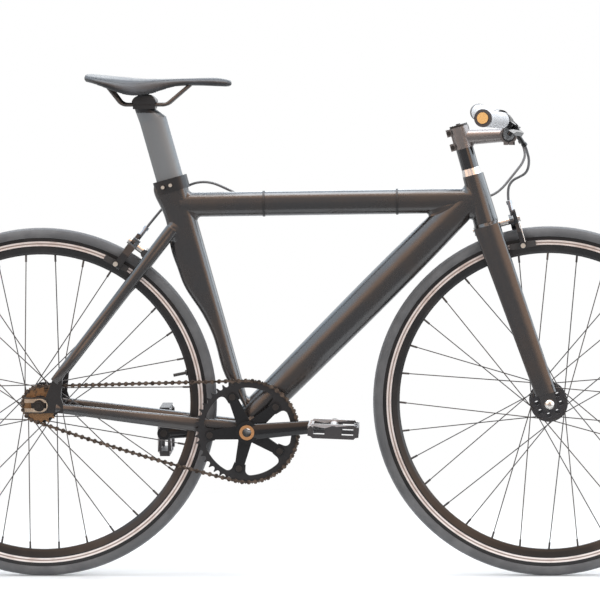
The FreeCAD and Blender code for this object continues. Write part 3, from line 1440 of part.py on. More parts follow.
save("stem_faceplate", bar_clamp.cut([bar_hole] + face_holes).common(front_box))
cap = rod(on_steer(stem_high, 0), on_steer(stem_high + top_cap_height, 0), top_cap_radius)
cap_bolt = rod(on_steer(stem_high + top_cap_height, 0),
               on_steer(stem_high + top_cap_height + top_bolt_height, 0), top_bolt_radius)
save("stem_fasteners", fasteners + [cap.fuse(cap_bolt)])

# Handlebar: a low riser, swept back, with a thicker sleeve in the stem
half_bar = [Vector(0, bar_flat, 0), Vector(-bar_bend_back, bar_bend_side, bar_rise),
            Vector(-bar_end_back, bar_end_side, bar_end_rise)]
bar_points = [bar_centre + Vector(p.x, -p.y, p.z) for p in reversed(half_bar)]
bar_points += [bar_centre + p for p in half_bar]
bar_solid = swept(bar_points, bar_radius, bar_bend_radius)[0]
bar_hollow = swept(bar_points, bar_bore, bar_bend_radius)[0]
sleeve_half = across * bar_sleeve_half_width
sleeve = rod(bar_centre - sleeve_half, bar_centre + sleeve_half, bar_sleeve_radius)
save("handlebar", bar_solid.fuse(sleeve).cut(bar_hollow))

# Grips: a sleeve, an end ring and a plug on each bar end, all along the bar's last straight run
bar_end = bar_points[-1]
bar_out = bar_points[-1] - bar_points[-2]
bar_out.normalize()
grip_start = bar_end - bar_out * grip_length
ring_start = bar_end - bar_out * grip_ring_width
grip = pipe(grip_start, ring_start, grip_radius, bar_radius + seat_clearance)
grip_ring = pipe(ring_start, bar_end, grip_ring_radius, bar_radius + seat_clearance)
plug = rod(bar_end, bar_end + bar_out * bar_plug_height, bar_plug_radius)
grip_set = [grip, grip_ring, plug]
save("grips", grip_set + [mirrored(piece) for piece in grip_set])

# Brake levers: a bracket clamped on the bar, with a slotted nose for the lever's pivot
clamp_end = grip_start - bar_out * lever_clamp_gap
clamp_start = clamp_end - bar_out * lever_clamp_width
clamp_middle = 0.5 * (clamp_start + clamp_end)
aim = polar(1.0, radians(lever_aim))
aim = aim - bar_out * aim.dot(bar_out)
aim.normalize()
pivot_axis = bar_out.cross(aim)
pivot = clamp_middle + aim * lever_arm
clamp_ring = rod(clamp_start, clamp_end, lever_clamp_radius)


def slab(corner_pairs, low, high):
    """A plate in the lever's plane from (out, reach) places, between two heights along the pivot."""
    corners = [clamp_middle + bar_out * out + aim * far + pivot_axis * low for out, far in corner_pairs]
    return plate(corners, pivot_axis * (high - low))


nose_end = lever_arm + lever_eye_radius
body = slab([(-lever_body_half_width, 0.0), (lever_body_half_width, 0.0),
             (lever_body_half_width, nose_end), (-lever_body_half_width, nose_end)],
            -lever_body_half_height, lever_body_half_height)
slot_half = lever_half_height + lever_fork_gap
slot_back = lever_arm - lever_eye_radius - guard_clearance
slot_side = lever_body_half_width + cut_overrun
slot_end = nose_end + cut_overrun
slot = slab([(-slot_side, slot_back), (slot_side, slot_back), (slot_side, slot_end), (-slot_side, slot_end)],
            -slot_half, slot_half)
adjuster_run = polar(1.0, radians(adjuster_aim)) - across * adjuster_turn_in
adjuster_run.normalize()
adjuster_start = clamp_middle - bar_out * (lever_body_half_width - adjuster_radius) + aim * adjuster_root
adjuster_end = adjuster_start + adjuster_run * adjuster_length
collar_end = adjuster_start + adjuster_run * (adjuster_length - adjuster_collar)
bracket_solid = clamp_ring.fuse([body, rod(adjuster_start, adjuster_end, adjuster_radius),
                                 rod(collar_end, adjuster_end, adjuster_collar_radius)])
bar_bore_cut = rod(clamp_start - bar_out * cut_overrun, clamp_end + bar_out * cut_overrun,
                   bar_radius + seat_clearance)
pivot_pin = rod(pivot - pivot_axis * lever_pivot_half_height, pivot + pivot_axis * lever_pivot_half_height,
                lever_pivot_radius)
bracket_solid = bracket_solid.cut([bar_bore_cut, slot]).fuse(pivot_pin)
save("lever_brackets", [mirrored(bracket_solid), bracket_solid])

# Lever blades: an eye on the pivot and a bent finger that runs outward in front of the grip
pivot_hole = rod(pivot - pivot_axis * lever_pivot_half_height, pivot + pivot_axis * lever_pivot_half_height,
                 lever_pivot_radius + running_clearance)
knuckle = (lever_knuckle, lever_blade_reach)
mid_blade = (lever_knuckle + 0.5 * lever_blade_length, lever_blade_reach - 0.5 * lever_half_height)
finger = [(0.0, lever_arm), knuckle, mid_blade, (lever_knuckle + lever_blade_length, lever_tip_reach)]
widths = [lever_eye_radius, lever_blade_half_width, lever_blade_half_width, lever_tip_half_width]


def strip(places, half_widths, start, out, up, low, high):
    """A flat bar of varying width through places in a plane, rounded at each place."""
    normal = out.cross(up)
    depth = normal * (high - low)
    pieces = []
    spots = [start + out * a + up * b + normal * low for a, b in places]
    for spot, half in zip(spots, half_widths):
        pieces.append(rod(spot, spot + depth, half))
    for first, second, near, far in zip(spots, spots[1:], half_widths, half_widths[1:]):
        run = second - first
        run.normalize()
        side = normal.cross(run)
        corners = [first + side * near, second + side * far, second - side * far, first - side * near]
        pieces.append(plate(corners, depth))
    return pieces[0].fuse(pieces[1:])


lever = strip(finger, widths, clamp_middle, bar_out, aim, -lever_half_height, lever_half_height)
lever = lever.cut(pivot_hole)
save("brake_lever_left", lever)
save("brake_lever_right", mirrored(lever))


def caliper(name, origin, up, fore, axle, standoff, start, body):
    """A side-pull brake on one bolt: a horn arm with the adjuster, a crossing arm with the anchor, and pads.

    origin is on the bolt, up and fore are the arms' plane and the bolt's way out, body is what carries it.
    """
    out = up.cross(fore)
    layers = [(standoff, standoff + brake_layer),
              (standoff + brake_layer + brake_layer_gap, standoff + 2 * brake_layer + brake_layer_gap)]
    pad_fore = 0.5 * (layers[1][0] + layers[1][1])
    to_axle = origin + fore * pad_fore - axle
    lean = to_axle.dot(up)
    pad_rise = -lean + math.sqrt(lean ** 2 - to_axle.dot(to_axle) + pad_radius ** 2)
    leg_places = [(brake_leg_side, pad_rise), (brake_bow_side, -brake_bow_drop),
                  (brake_shoulder_side, -brake_shoulder_drop)]
    leg_widths = [brake_leg_half_width, brake_leg_half_width, brake_shoulder_half_width]
    eye_places = leg_places[2:] + [(0.0, 0.0)]
    eye_widths = [brake_shoulder_half_width, brake_eye_radius]
    horn = (brake_horn_side, brake_horn_rise)
    anchor = (brake_anchor_side, -brake_anchor_drop)

    def left(places):
        return [(-side, rise) for side, rise in places]

    def place(side, rise, depth):
        return origin + out * side + up * rise + fore * depth

    bolt_hole = rod(place(0, 0, standoff - brake_layer), place(0, 0, standoff + 4 * brake_layer),
                    brake_bolt_radius + running_clearance)
    low, high = layers[1]
    horn_arm = strip(left(leg_places), leg_widths, origin, out, up, low, high)
    horn_arm = horn_arm.fuse(strip(left(eye_places), eye_widths, origin, out, up, low, high))
    horn_widths = [brake_shoulder_half_width, brake_horn_half_width]
    horn_arm = horn_arm.fuse(strip(left([leg_places[2], horn]), horn_widths, origin, out, up, low, high))
    barrel_depth = low
    barrel = rod(place(-brake_horn_side, brake_barrel_low, barrel_depth),
                 place(-brake_horn_side, brake_barrel_high, barrel_depth), brake_barrel_radius)
    knob = rod(place(-brake_horn_side, brake_barrel_high - brake_barrel_knob, barrel_depth),
               place(-brake_horn_side, brake_barrel_high, barrel_depth), brake_barrel_knob_radius)
    horn_arm = horn_arm.fuse([barrel, knob])

    low, high = layers[0]
    anchor_arm = strip(leg_places, leg_widths, origin, out, up, low, layers[1][1])
    crossing = eye_places + left([anchor])
    crossing_widths = eye_widths + [brake_shoulder_half_width]
    anchor_arm = anchor_arm.fuse(strip(crossing, crossing_widths, origin, out, up, low, high))
    anchor_bolt = rod(place(-anchor[0], anchor[1], low - brake_anchor_length),
                      place(-anchor[0], anchor[1], low), brake_anchor_radius)
    anchor_arm = anchor_arm.fuse(anchor_bolt)

    # Pads: a shoe along the rim on each side, with its bolt through the leg
    spot = place(0, pad_rise, pad_fore)
    radial = spot - axle
    radial.normalize()
    tangent = across.cross(radial)
    face = 0.5 * rim_width + pad_clearance
    back = brake_leg_side - brake_leg_half_width - seat_clearance
    corner = spot - tangent * (0.5 * pad_length) - radial * (0.5 * pad_height)
    sides = []
    for sign in (-1, 1):
        shift = out * (sign * face)
        pad = plate([corner + shift, corner + shift + tangent * pad_length,
                     corner + shift + tangent * pad_length + radial * pad_height,
                     corner + shift + radial * pad_height], out * (sign * (back - face)))
        leg_outside = brake_leg_side + brake_leg_half_width
        head = rod(spot + out * (sign * brake_leg_side), spot + out * (sign * (leg_outside + pad_bolt_head)),
                   pad_bolt_head_radius)
        sides.append((pad, head))
    save(name + ("_brake_arm_right" if out.y > 0 else "_brake_arm_left"),
         [horn_arm.cut(bolt_hole).fuse(sides[0][1]), sides[0][0].cut(horn_arm)])
    save(name + ("_brake_arm_left" if out.y > 0 else "_brake_arm_right"),
         [anchor_arm.cut(bolt_hole).fuse(sides[1][1]), sides[1][0].cut(anchor_arm)])

    # Bolt with its shoulder, nuts and the return spring's wire
    shoulder = rod(place(0, 0, 0), place(0, 0, standoff - face_clearance), brake_shoulder_radius).cut(body)
    shoulder = sorted(shoulder.Solids, key=lambda piece: piece.CenterOfMass.sub(origin).dot(fore))[-1]
    front_face = layers[1][1] + face_clearance
    bolt = rod(place(0, 0, -brake_bolt_back if start == 0 else -start - brake_back_nut_height),
               place(0, 0, front_face + brake_nut_height), brake_bolt_radius)
    nut = rod(place(0, 0, front_face), place(0, 0, front_face + brake_nut_height), brake_nut_radius)
    spring_depth = front_face + 2 * brake_spring_radius
    spring_points = [place(0, 0, spring_depth),
                     place(-brake_shoulder_side, -brake_shoulder_drop, spring_depth),
                     place(-brake_leg_side, pad_rise * brake_spring_share, spring_depth)]
    spring, length, radii = swept(spring_points, brake_spring_radius, brake_shoulder_drop)
    pieces = [shoulder, nut, spring]
    if start > 0:
        back_nut_end = place(0, 0, -start - brake_back_nut_height)
        pieces.append(rod(back_nut_end, place(0, 0, -start), brake_back_nut_radius))
    save(name + "_brake_bolt", bolt.fuse(pieces))
    barrel_top = place(-brake_horn_side, brake_barrel_high, barrel_depth)
    print(f"{name} brake: pads {pad_rise:.2f} from the bolt, adjuster top {barrel_top}")
    return barrel_top


front_barrel = caliper("front", on_steer(-crown_bolt_drop, 0), steer_up, steer_fore, front_axle,
                       brake_front_standoff, 0.0, crown_solid)
bridge_solid = rod(bridge_middle - across * stay_bend_side, bridge_middle + across * stay_bend_side,
                   bridge_radius + seat_clearance)
rear_barrel = caliper("rear", bridge_middle, stay_run * -1, stay_back, rear_axle, brake_rear_standoff,
                      bridge_radius, bridge_solid)

# Seatpost: an aero shaft, a head that narrows to a cradle, a clamp plate over the rails, and two bolts
post_low = on_seat(seat_tube_length - post_insert, -post_offset)
shaft_run = seat_up * (post_shaft_top - seat_tube_length + post_insert)
shaft = Part.Face(oval(post_low, seat_fore, across, post_half_chord, post_half_chord, post_half_width))
shaft = shaft.extrude(shaft_run)
shaft_top = post_low + shaft_run
rail_lean = seat_up.x * (rail_height - shaft_top.z) / seat_up.z
rail_middle = Vector(shaft_top.x + rail_lean - rail_setback, 0, rail_height)
cradle_low = rail_middle - upward * cradle_height
head = Part.makeLoft([
    oval(shaft_top, seat_fore, across, post_half_chord, post_half_chord, post_half_width),
    oval(cradle_low, Vector(1, 0, 0), across, post_head_half_length, post_head_half_length,
         post_head_half_width),
], True, False)
cradle = Part.makeBox(2 * cradle_half_length, 2 * cradle_half_width, cradle_height - cradle_gap,
                      cradle_low - Vector(cradle_half_length, cradle_half_width, 0))
clamp_top = Part.makeBox(2 * cradle_half_length, 2 * cradle_half_width, clamp_plate_height,
                         rail_middle + Vector(-cradle_half_length, -cradle_half_width, cradle_gap))


def rail(side):
    """One rail: level through the clamp, rising to the tail behind and closing in to the nose in front."""
    rear = rail_middle.x - 0.5 * rail_straight
    front = rail_middle.x + 0.5 * rail_straight
    points = [Vector(rear - rail_rear_reach, side * rail_rear_side, rail_height + rail_end_rise),
              Vector(rear, side * rail_half_spacing, rail_height),
              Vector(front, side * rail_half_spacing, rail_height),
              Vector(front + rail_nose_reach, side * rail_nose_side, rail_height + rail_end_rise)]
    return swept(points, rail_radius, rail_bend_radius)[0]


def rail_groove(side):
    half = Vector(cradle_half_length + cut_overrun, 0, 0)
    middle = rail_middle + across * (side * rail_half_spacing)
    return rod(middle - half, middle + half, rail_radius + seat_clearance)


grooves = [rail_groove(-1), rail_groove(1)]
clamp_bolts = []
bolt_holes = []
for reach in (-clamp_bolt_reach, clamp_bolt_reach):
    low = cradle_low + Vector(reach, 0, 0)
    high = rail_middle + Vector(reach, 0, cradle_gap + clamp_plate_height)
    clamp_bolts.append(rod(low, high, clamp_bolt_radius).fuse(
        rod(high, high + upward * clamp_bolt_head, clamp_bolt_head_radius)))
    bolt_holes.append(rod(low, high, clamp_bolt_radius + seat_clearance))
bore_run = shaft_run - seat_up * post_wall
bore_half_chord = post_half_chord - post_wall
shaft_bore = Part.Face(oval(post_low, seat_fore, across, bore_half_chord, bore_half_chord,
                            post_half_width - post_wall))
shaft_bore = shaft_bore.extrude(bore_run)
post = shaft.fuse([head, cradle]).cut(grooves + bolt_holes + [shaft_bore])
save("seatpost", [post, clamp_top.cut(grooves + bolt_holes)] + clamp_bolts)

# Saddle: a crowned cover drawn in at the waist, a thin base under it, and two rails
fore = Vector(1, 0, 0)


def saddle_form(drop):
    """The saddle's closed outer form, lowered by drop."""
    wires = []
    shares = zip(saddle_station_shares, saddle_width_shares, saddle_top_shares, saddle_low_shares)
    for along, width, top, low in shares:
        centre_share = low + (top - low) * saddle_crown_share
        centre = Vector(saddle_tail + saddle_length * along, 0,
                        saddle_top_height + saddle_depth * centre_share - drop)
        wires.append(oval(centre, upward, across, saddle_depth * (top - centre_share),
                          saddle_depth * (centre_share - low), 0.5 * saddle_width * width))
    return Part.makeLoft(wires, True, False)


saddle_outer = saddle_form(0.0)
cover = saddle_outer.cut(saddle_form(saddle_skin))
cover = sorted(cover.Solids, key=lambda piece: piece.Volume)[-1]
base_form = saddle_form(saddle_skin + seat_clearance)
base = base_form.cut(saddle_form(saddle_skin + saddle_base)).common(saddle_outer)
base = sorted(base.Solids, key=lambda piece: piece.Volume)[-1]
rails = []
for side in (-1, 1):
    piece = rail(side).cut([base, cover])
    rails.append(sorted(piece.Solids, key=lambda part: part.Volume)[-1])
save("saddle_cover", cover)
save("saddle_base", base)
save("saddle_rails", rails)


def housing(name, points):
    """A cable housing along hand-chosen places, with each bend as large as its runs allow."""
    solid, length, radii = swept(points, cable_radius)
    expected = math.pi * cable_radius ** 2 * length
    share = solid.Volume / expected
    print(f"{name}: length {length:.1f}, volume ratio {share:.4f}, least bend radius {min(radii):.1f}")
    return solid


# Front brake cable, from the right lever's adjuster to the front caliper
lever_exit = adjuster_end + adjuster_run * cable_end_gap
right_exit = Vector(lever_exit.x, -lever_exit.y, lever_exit.z)
front_points = [right_exit] + [Vector(*place) for place in front_cable_places]
front_points.append(front_barrel + steer_up * cable_end_gap)
save("front_brake_cable", housing("front_brake_cable", front_points))


def beside_top_tube(place):
    share = (place - top_front.x) / (top_rear.x - top_front.x)
    middle = top_front + (top_rear - top_front) * share
    return middle + across * cable_on_tube_side + upward * cable_on_tube_rise


# Rear brake cable: a free loop from the left lever to the top tube, then a fixed run to the rear caliper
join = beside_top_tube(cable_join)
loop_end = beside_top_tube(cable_join + cable_end_gap)
loop_points = [lever_exit] + [Vector(*place) for place in loop_places] + [loop_end]
save("rear_brake_cable_loop", housing("rear_brake_cable_loop", loop_points))
run_points = [join, beside_top_tube(cable_lift_off)] + [Vector(*place) for place in rear_cable_places]
run_points.append(rear_barrel - stay_run * face_clearance)
save("rear_brake_cable", housing("rear_brake_cable", run_points))

# Ties that hold the cable to the top tube
ties = []
for place in cable_tie_places:
    share = (place - top_front.x) / (top_rear.x - top_front.x)
    middle = top_front + (top_rear - top_front) * share
    half = (top_rear - top_front)
    half.normalize()
    half = half * (0.5 * cable_tie_width)
    reach = cable_tie_thickness
    band_depth = top_tube_half_depth + reach
    band_width = top_tube_half_width + reach
    band = lofted([(middle + shift, top_rise, across, band_depth, band_depth, band_width)
                   for shift in (half, half * -1)])
    held = beside_top_tube(place)
    band = band.fuse(rod(held - half, held + half, cable_radius + reach))
    ties.append(band.cut([top_outer, rod(held - half * 2, held + half * 2, cable_radius + seat_clearance)]))
save("cable_ties", ties)
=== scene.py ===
# %% [markdown]
# # A fixed gear bicycle
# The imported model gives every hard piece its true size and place, in metres: +X runs forwards, +Y to the
# rider's left and +Z up. This script dresses that model. Pieces whose solid is already right keep it and get a
# finish. Pieces that are soft, flowing or finely repeated are made again here, in the same place.

# %% Load the frame
import math

import bmesh
import bpy
import numpy as np
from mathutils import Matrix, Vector
from mathutils.bvhtree import BVHTree


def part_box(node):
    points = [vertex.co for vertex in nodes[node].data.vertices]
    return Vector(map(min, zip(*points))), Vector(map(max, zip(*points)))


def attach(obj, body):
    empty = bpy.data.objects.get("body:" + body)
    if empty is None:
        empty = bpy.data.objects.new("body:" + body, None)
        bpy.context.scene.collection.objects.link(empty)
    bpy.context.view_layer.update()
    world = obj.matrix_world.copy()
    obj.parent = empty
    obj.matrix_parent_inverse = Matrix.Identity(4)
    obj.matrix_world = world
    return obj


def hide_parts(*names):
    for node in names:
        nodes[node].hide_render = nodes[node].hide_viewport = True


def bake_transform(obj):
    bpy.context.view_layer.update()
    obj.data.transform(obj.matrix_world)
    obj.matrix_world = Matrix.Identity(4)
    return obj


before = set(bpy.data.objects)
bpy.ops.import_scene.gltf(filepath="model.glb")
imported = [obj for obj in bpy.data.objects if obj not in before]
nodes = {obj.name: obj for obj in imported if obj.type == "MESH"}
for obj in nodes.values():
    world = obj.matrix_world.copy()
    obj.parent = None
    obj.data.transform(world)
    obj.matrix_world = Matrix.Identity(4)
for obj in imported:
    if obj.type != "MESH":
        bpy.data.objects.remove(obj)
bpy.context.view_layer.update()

# %% [markdown]
# ## Writing finishes as expressions
# A finish is a small program of shader nodes. Wrapping a socket in a class that knows plus, minus and times lets
# the program read like arithmetic, and one method adds every other kind of node.


# %% A socket with arithmetic, and a finish being built
class Value:
    """One output in a node tree; arithmetic on it adds Math nodes."""

    def __init__(self, maker, socket):
        self.maker = maker
        self.socket = socket

    def math(self, operation, *others):
        return self.maker.add("ShaderNodeMath", {"operation": operation}, (self, *others))

    def __add__(self, other):
        return self.math("ADD", other)

    def __sub__(self, other):
        return self.math("SUBTRACT", other)

    def __mul__(self, other):
        return self.math("MULTIPLY", other)

    def __rsub__(self, other):
        return self.maker.add("ShaderNodeMath", {"operation": "SUBTRACT"}, (other, self))

    __radd__ = __add__
    __rmul__ = __mul__

    def band(self, low, high, soft):
        """1 between low and high, 0 outside, with soft edges."""
        rise = self.ramp(low - soft, low + soft)
        fall = self.ramp(high - soft, high + soft)
        return rise * (1 - fall)

    def ramp(self, start, end):
        """0 before start, 1 after end, and smooth between them."""
        return self.maker.add("ShaderNodeMapRange", {"interpolation_type": "SMOOTHSTEP"},
                              {"Value": self, "From Min": start, "From Max": end})


class Maker:
    """Adds nodes to a tree; the world uses it as it is, and finishes build on it."""

    def __init__(self, tree):
        self.tree = tree

    def plug(self, socket, value):
        if isinstance(value, Value):
            self.tree.links.new(value.socket, socket)
        elif isinstance(value, tuple) and len(value) == 3 and socket.type == "RGBA":
            socket.default_value = (*value, 1.0)
        else:
            socket.default_value = value

    def add(self, kind, settings=None, inputs=None, output=0):
        """Any node: its settings first, then its sockets by place or by name."""
        node = self.tree.nodes.new(kind)
        for key, value in (settings or {}).items():
            setattr(node, key, value)
        if isinstance(inputs, dict):
            for name, value in inputs.items():
                self.plug(node.inputs[name], value)
        else:
            for socket, value in zip(node.inputs, inputs or ()):
                self.plug(socket, value)
        return Value(self, node.outputs[output])

    def axes(self, coordinate="Object"):
        """The three parts of a coordinate."""
        place = self.add("ShaderNodeTexCoord", output=coordinate)
        split = self.add("ShaderNodeSeparateXYZ", None, (place,))
        return [Value(self, split.socket.node.outputs[name]) for name in "XYZ"]

    def blend(self, share, first, second):
        """The first colour where share is 0, and the second where it is 1."""
        mixed = self.add("ShaderNodeMix", {"data_type": "RGBA"}, {"Factor": share})
        node = mixed.socket.node
        colours = [socket for socket in node.inputs if socket.type == "RGBA"]
        for socket, value in zip(colours, (first, second)):
            self.plug(socket, value)
        return Value(self, [socket for socket in node.outputs if socket.type == "RGBA"][0])


class Finish(Maker):
    """A material under construction, with its main shader."""

    def __init__(self, name, colour, roughness, metallic=0.0, **constants):
        self.material = bpy.data.materials.new(name)
        self.material.use_nodes = True
        super().__init__(self.material.node_tree)
        self.shader = self.tree.nodes["Principled BSDF"]
        self.set("Base Color", colour)
        self.set("Roughness", roughness)
        self.set("Metallic", metallic)
        for socket, value in constants.items():
            self.set(socket.replace("_", " "), value)

    def set(self, socket, value):
        self.plug(self.shader.inputs[socket], value)

    def place(self):
        return self.add("ShaderNodeTexCoord", output="Object")

    def noise(self, scale, detail=3.0):
        return self.add("ShaderNodeTexNoise", None, {"Vector": self.place(), "Scale": scale, "Detail": detail})

    def bump(self, height, depth, strength=1.0):
        """Relief from a height between 0 and 1; depth is in metres."""
        relief = self.add("ShaderNodeBump", None, {"Height": height, "Distance": depth, "Strength": strength})
        self.set("Normal", relief)


def dress(finish, *names):
    """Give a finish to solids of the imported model."""
    for name in names:
        mesh = nodes[name].data
        mesh.materials.clear()
        mesh.materials.append(finish.material)


print("finish tools ready")


# %% Objects and their settled meshes
def put(name, data):
    """A new object with this data, in the scene."""
    thing = bpy.data.objects.new(name, data)
    bpy.context.collection.objects.link(thing)
    return thing


def settled(thing):
    """The mesh that an object has once its modifiers or its bevel have run."""
    return bpy.data.meshes.new_from_object(thing.evaluated_get(bpy.context.evaluated_depsgraph_get()))


merge_distance = 1e-6
print("object tools ready")

# %% [markdown]
# ## Satin paint
# The tubes and the fork carry a thin satin black coat. Up close it has a faint grain. In slow patches its colour
# is browner as a painted warm reflection, and its coat is thinner and rougher, as where hands and straps have
# rubbed it. A low roughness with slow variation gives the broad soft highlights that tell the eye the tubes are
# round.

# %% Frame and fork paint
paint = Finish("satin_black_paint", (0.012, 0.011, 0.0108), 0.26, Specular_IOR_Level=0.6, Coat_Roughness=0.16)
# Slow patches: their browner colour is a painted warm reflection, and their thinner, rougher coat is rubbing.
rub_and_warm_reflection = paint.noise(9.0, 4.0).ramp(0.42, 0.72)
paint.set("Base Color", paint.blend(rub_and_warm_reflection, (0.0165, 0.0160, 0.0165), (0.026, 0.0195, 0.0160)))
paint.set("Roughness", 0.22 + rub_and_warm_reflection * 0.08 + paint.noise(420.0) * 0.05)
paint.set("Coat Weight", 0.5 - rub_and_warm_reflection * 0.2)
paint.bump(paint.noise(1500.0, 2.0), 0.00004, 0.5)
dress(paint, "head_tube", "top_tube", "down_tube", "seat_tube", "bottom_bracket_shell", "chainstays", "seatstays",
      "brake_bridge", "fork")
print("paint:", len(paint.tree.nodes), "nodes")

# %% [markdown]
# ## Metals
# Anodised aluminium, blackened steel and plated steel differ in colour, in roughness and in the way their marks
# run. One helper makes them all: a base colour, a speckle that changes the roughness, and on most of them rubbed
# spots that show the metal under the coat.


# %% One helper for the metals
def metal(name, colour, roughness, metallic=1.0, worn=None, wear=0.0, grain=260.0, depth=0.00003, **constants):
    """A metal or coated metal with speckled roughness and, where worn is a colour, rubbed spots."""
    finish = Finish(name, colour, roughness, metallic, **constants)
    speckle = finish.noise(grain, 4.0)
    finish.set("Roughness", (roughness - 0.07) + speckle * 0.16)
    if worn:
        spots = finish.noise(70.0, 8.0).ramp(0.74 - wear, 0.86 - wear)
        finish.set("Base Color", finish.blend(spots, colour, worn))
    finish.bump(speckle, depth, 0.6)
    return finish


black_alloy = metal("satin_black_alloy", (0.022, 0.0225, 0.024), 0.36, 0.35, (0.10, 0.095, 0.09), 0.02)
gloss_alloy = metal("gloss_black_alloy", (0.009, 0.009, 0.0095), 0.17, 0.1, (0.03, 0.029, 0.028), 0.0,
                    Specular_IOR_Level=0.35, Coat_Weight=0.15, Coat_Roughness=0.08)
post_grey = metal("dark_grey_post", (0.175, 0.186, 0.194), 0.44, 0.30, (0.20, 0.21, 0.215), 0.04)
stem_alloy = metal("smoked_stem_alloy", (0.21, 0.190, 0.182), 0.30, 0.7, (0.28, 0.265, 0.26), 0.06)
dark_steel = metal("blackened_steel", (0.045, 0.042, 0.040), 0.38, 0.8, (0.22, 0.20, 0.18), 0.05)
bright_steel = metal("plated_steel", (0.60, 0.58, 0.55), 0.26, 1.0, (0.42, 0.38, 0.34), 0.08)
rail_steel = metal("dark_rail_steel", (0.095, 0.088, 0.084), 0.30, 0.9)
hub_alloy = metal("anodised_hub_alloy", (0.060, 0.060, 0.064), 0.30, 0.7)
wire_black = metal("black_spoke_wire", (0.062, 0.059, 0.057), 0.30, 0.6, (0.14, 0.13, 0.12), 0.03)
copper_cap = metal("copper_anodised", (0.66, 0.36, 0.17), 0.30, 1.0, (0.50, 0.27, 0.13), 0.05)
bronze_cog = metal("bronze_plated_cog", (0.27, 0.17, 0.095), 0.40, 1.0, (0.10, 0.075, 0.055), 0.16)

# %% Metals on their pieces
brake_arms = ("front_brake_arm_right", "front_brake_arm_left", "rear_brake_arm_left", "rear_brake_arm_right")
dress(black_alloy, "bottom_bracket_bearings", "seat_clamp", "handlebar", "chainring", *brake_arms)
dress(gloss_alloy, "crank_arm_right", "crank_arm_left", "lever_brackets", "brake_lever_right", "brake_lever_left")
dress(post_grey, "seatpost")
dress(stem_alloy, "stem", "stem_faceplate")
dress(dark_steel, "chainring_bolts", "pedal_spindles", "stem_fasteners", "rear_axle", "rear_axle_nuts")
dress(bright_steel, "front_axle", "headset_bearings", "rear_brake_bolt", "front_brake_bolt")
dress(rail_steel, "saddle_rails")
dress(hub_alloy, "front_hub", "rear_hub")
dress(wire_black, "front_spokes", "rear_spokes")
dress(copper_cap, "crank_bolts")
dress(bronze_cog, "rear_cog")
print("metals dressed")

# %% [markdown]
# ## Chain
# The links are dark brown steel with an oily sheen. Grease and dust gather between the plates, so the colour
# wanders from black to rust brown over a few millimetres.

# %% Chain steel
chain_steel = Finish("oiled_chain_steel", (0.05, 0.036, 0.028), 0.38, 0.85)
grime = chain_steel.noise(160.0, 5.0)
oiled = chain_steel.blend(grime.ramp(0.35, 0.65), (0.044, 0.037, 0.032), (0.150, 0.122, 0.100))
chain_steel.set("Base Color", oiled)
chain_steel.set("Roughness", 0.28 + grime * 0.25)
chain_steel.bump(grime, 0.00005, 0.6)
dress(chain_steel, "chain")
print("chain:", len(chain_steel.tree.nodes), "nodes")

# %% [markdown]
# ## Wheels
# A finish on a wheel depends on the distance from the axle. The brake tracks are turned bare on the lathe and
# show a wear groove along their middle, while the rest of the rim is black. The tyre has a fine file-cut tread,
# painted lighter and grey-blue as a painted highlight, a smooth shoulder and a sidewall with moulded rings.
# Both read the distance from their own axle, in metres.


# %% Places round an axle
wheel_height = 0.335
axle_x = 0.4845
track_radii = (0.3004, 0.3093)
track_sides = (0.0088, 0.0094)
groove_radii = (0.3035, 0.3060)
wall_radii = (0.3175, 0.3275)
tread_radii = (0.3310, 0.3322)


def about_axle(finish, forward):
    """The way forwards and up from an axle, and the side, in metres."""
    x, y, z = finish.axes()
    return x - forward, z - wheel_height, y


def distance(run, rise):
    return (run * run + rise * rise).math("SQRT")


print("axles at", (-axle_x, axle_x))


# %% Rims and tyres
def rim_finish(name, forward):
    """Black, with bare brake tracks and a wear groove in them."""
    finish = Finish(name, (0.02, 0.02, 0.021), 0.3, 0.5)
    run, rise, side = about_axle(finish, forward)
    away = distance(run, rise)
    track = away.band(*track_radii, 0.0002) * side.math("ABSOLUTE").ramp(*track_sides)
    groove = away.band(*groove_radii, 0.0003)
    lathe = finish.add("ShaderNodeTexNoise", {"noise_dimensions": "1D"},
                       {"W": away, "Scale": 5200.0, "Detail": 2.0})
    smear = finish.noise(34.0, 5.0)
    bare = finish.blend(smear.ramp(0.45, 0.75), (0.80, 0.74, 0.71), (0.60, 0.51, 0.47))
    bare = finish.blend(groove * 0.85, bare, (0.22, 0.165, 0.14))
    coat = finish.blend(finish.noise(14.0, 3.0).ramp(0.45, 0.7), (0.010, 0.010, 0.0105), (0.022, 0.019, 0.018))
    finish.set("Base Color", finish.blend(track, coat, bare))
    finish.set("Metallic", 0.25 + track * 0.4)
    finish.set("Roughness", 0.27 + track * 0.08 + smear * 0.06)
    finish.bump(lathe * track * 0.12 + (1 - groove * track), 0.0002, 0.5)
    return finish


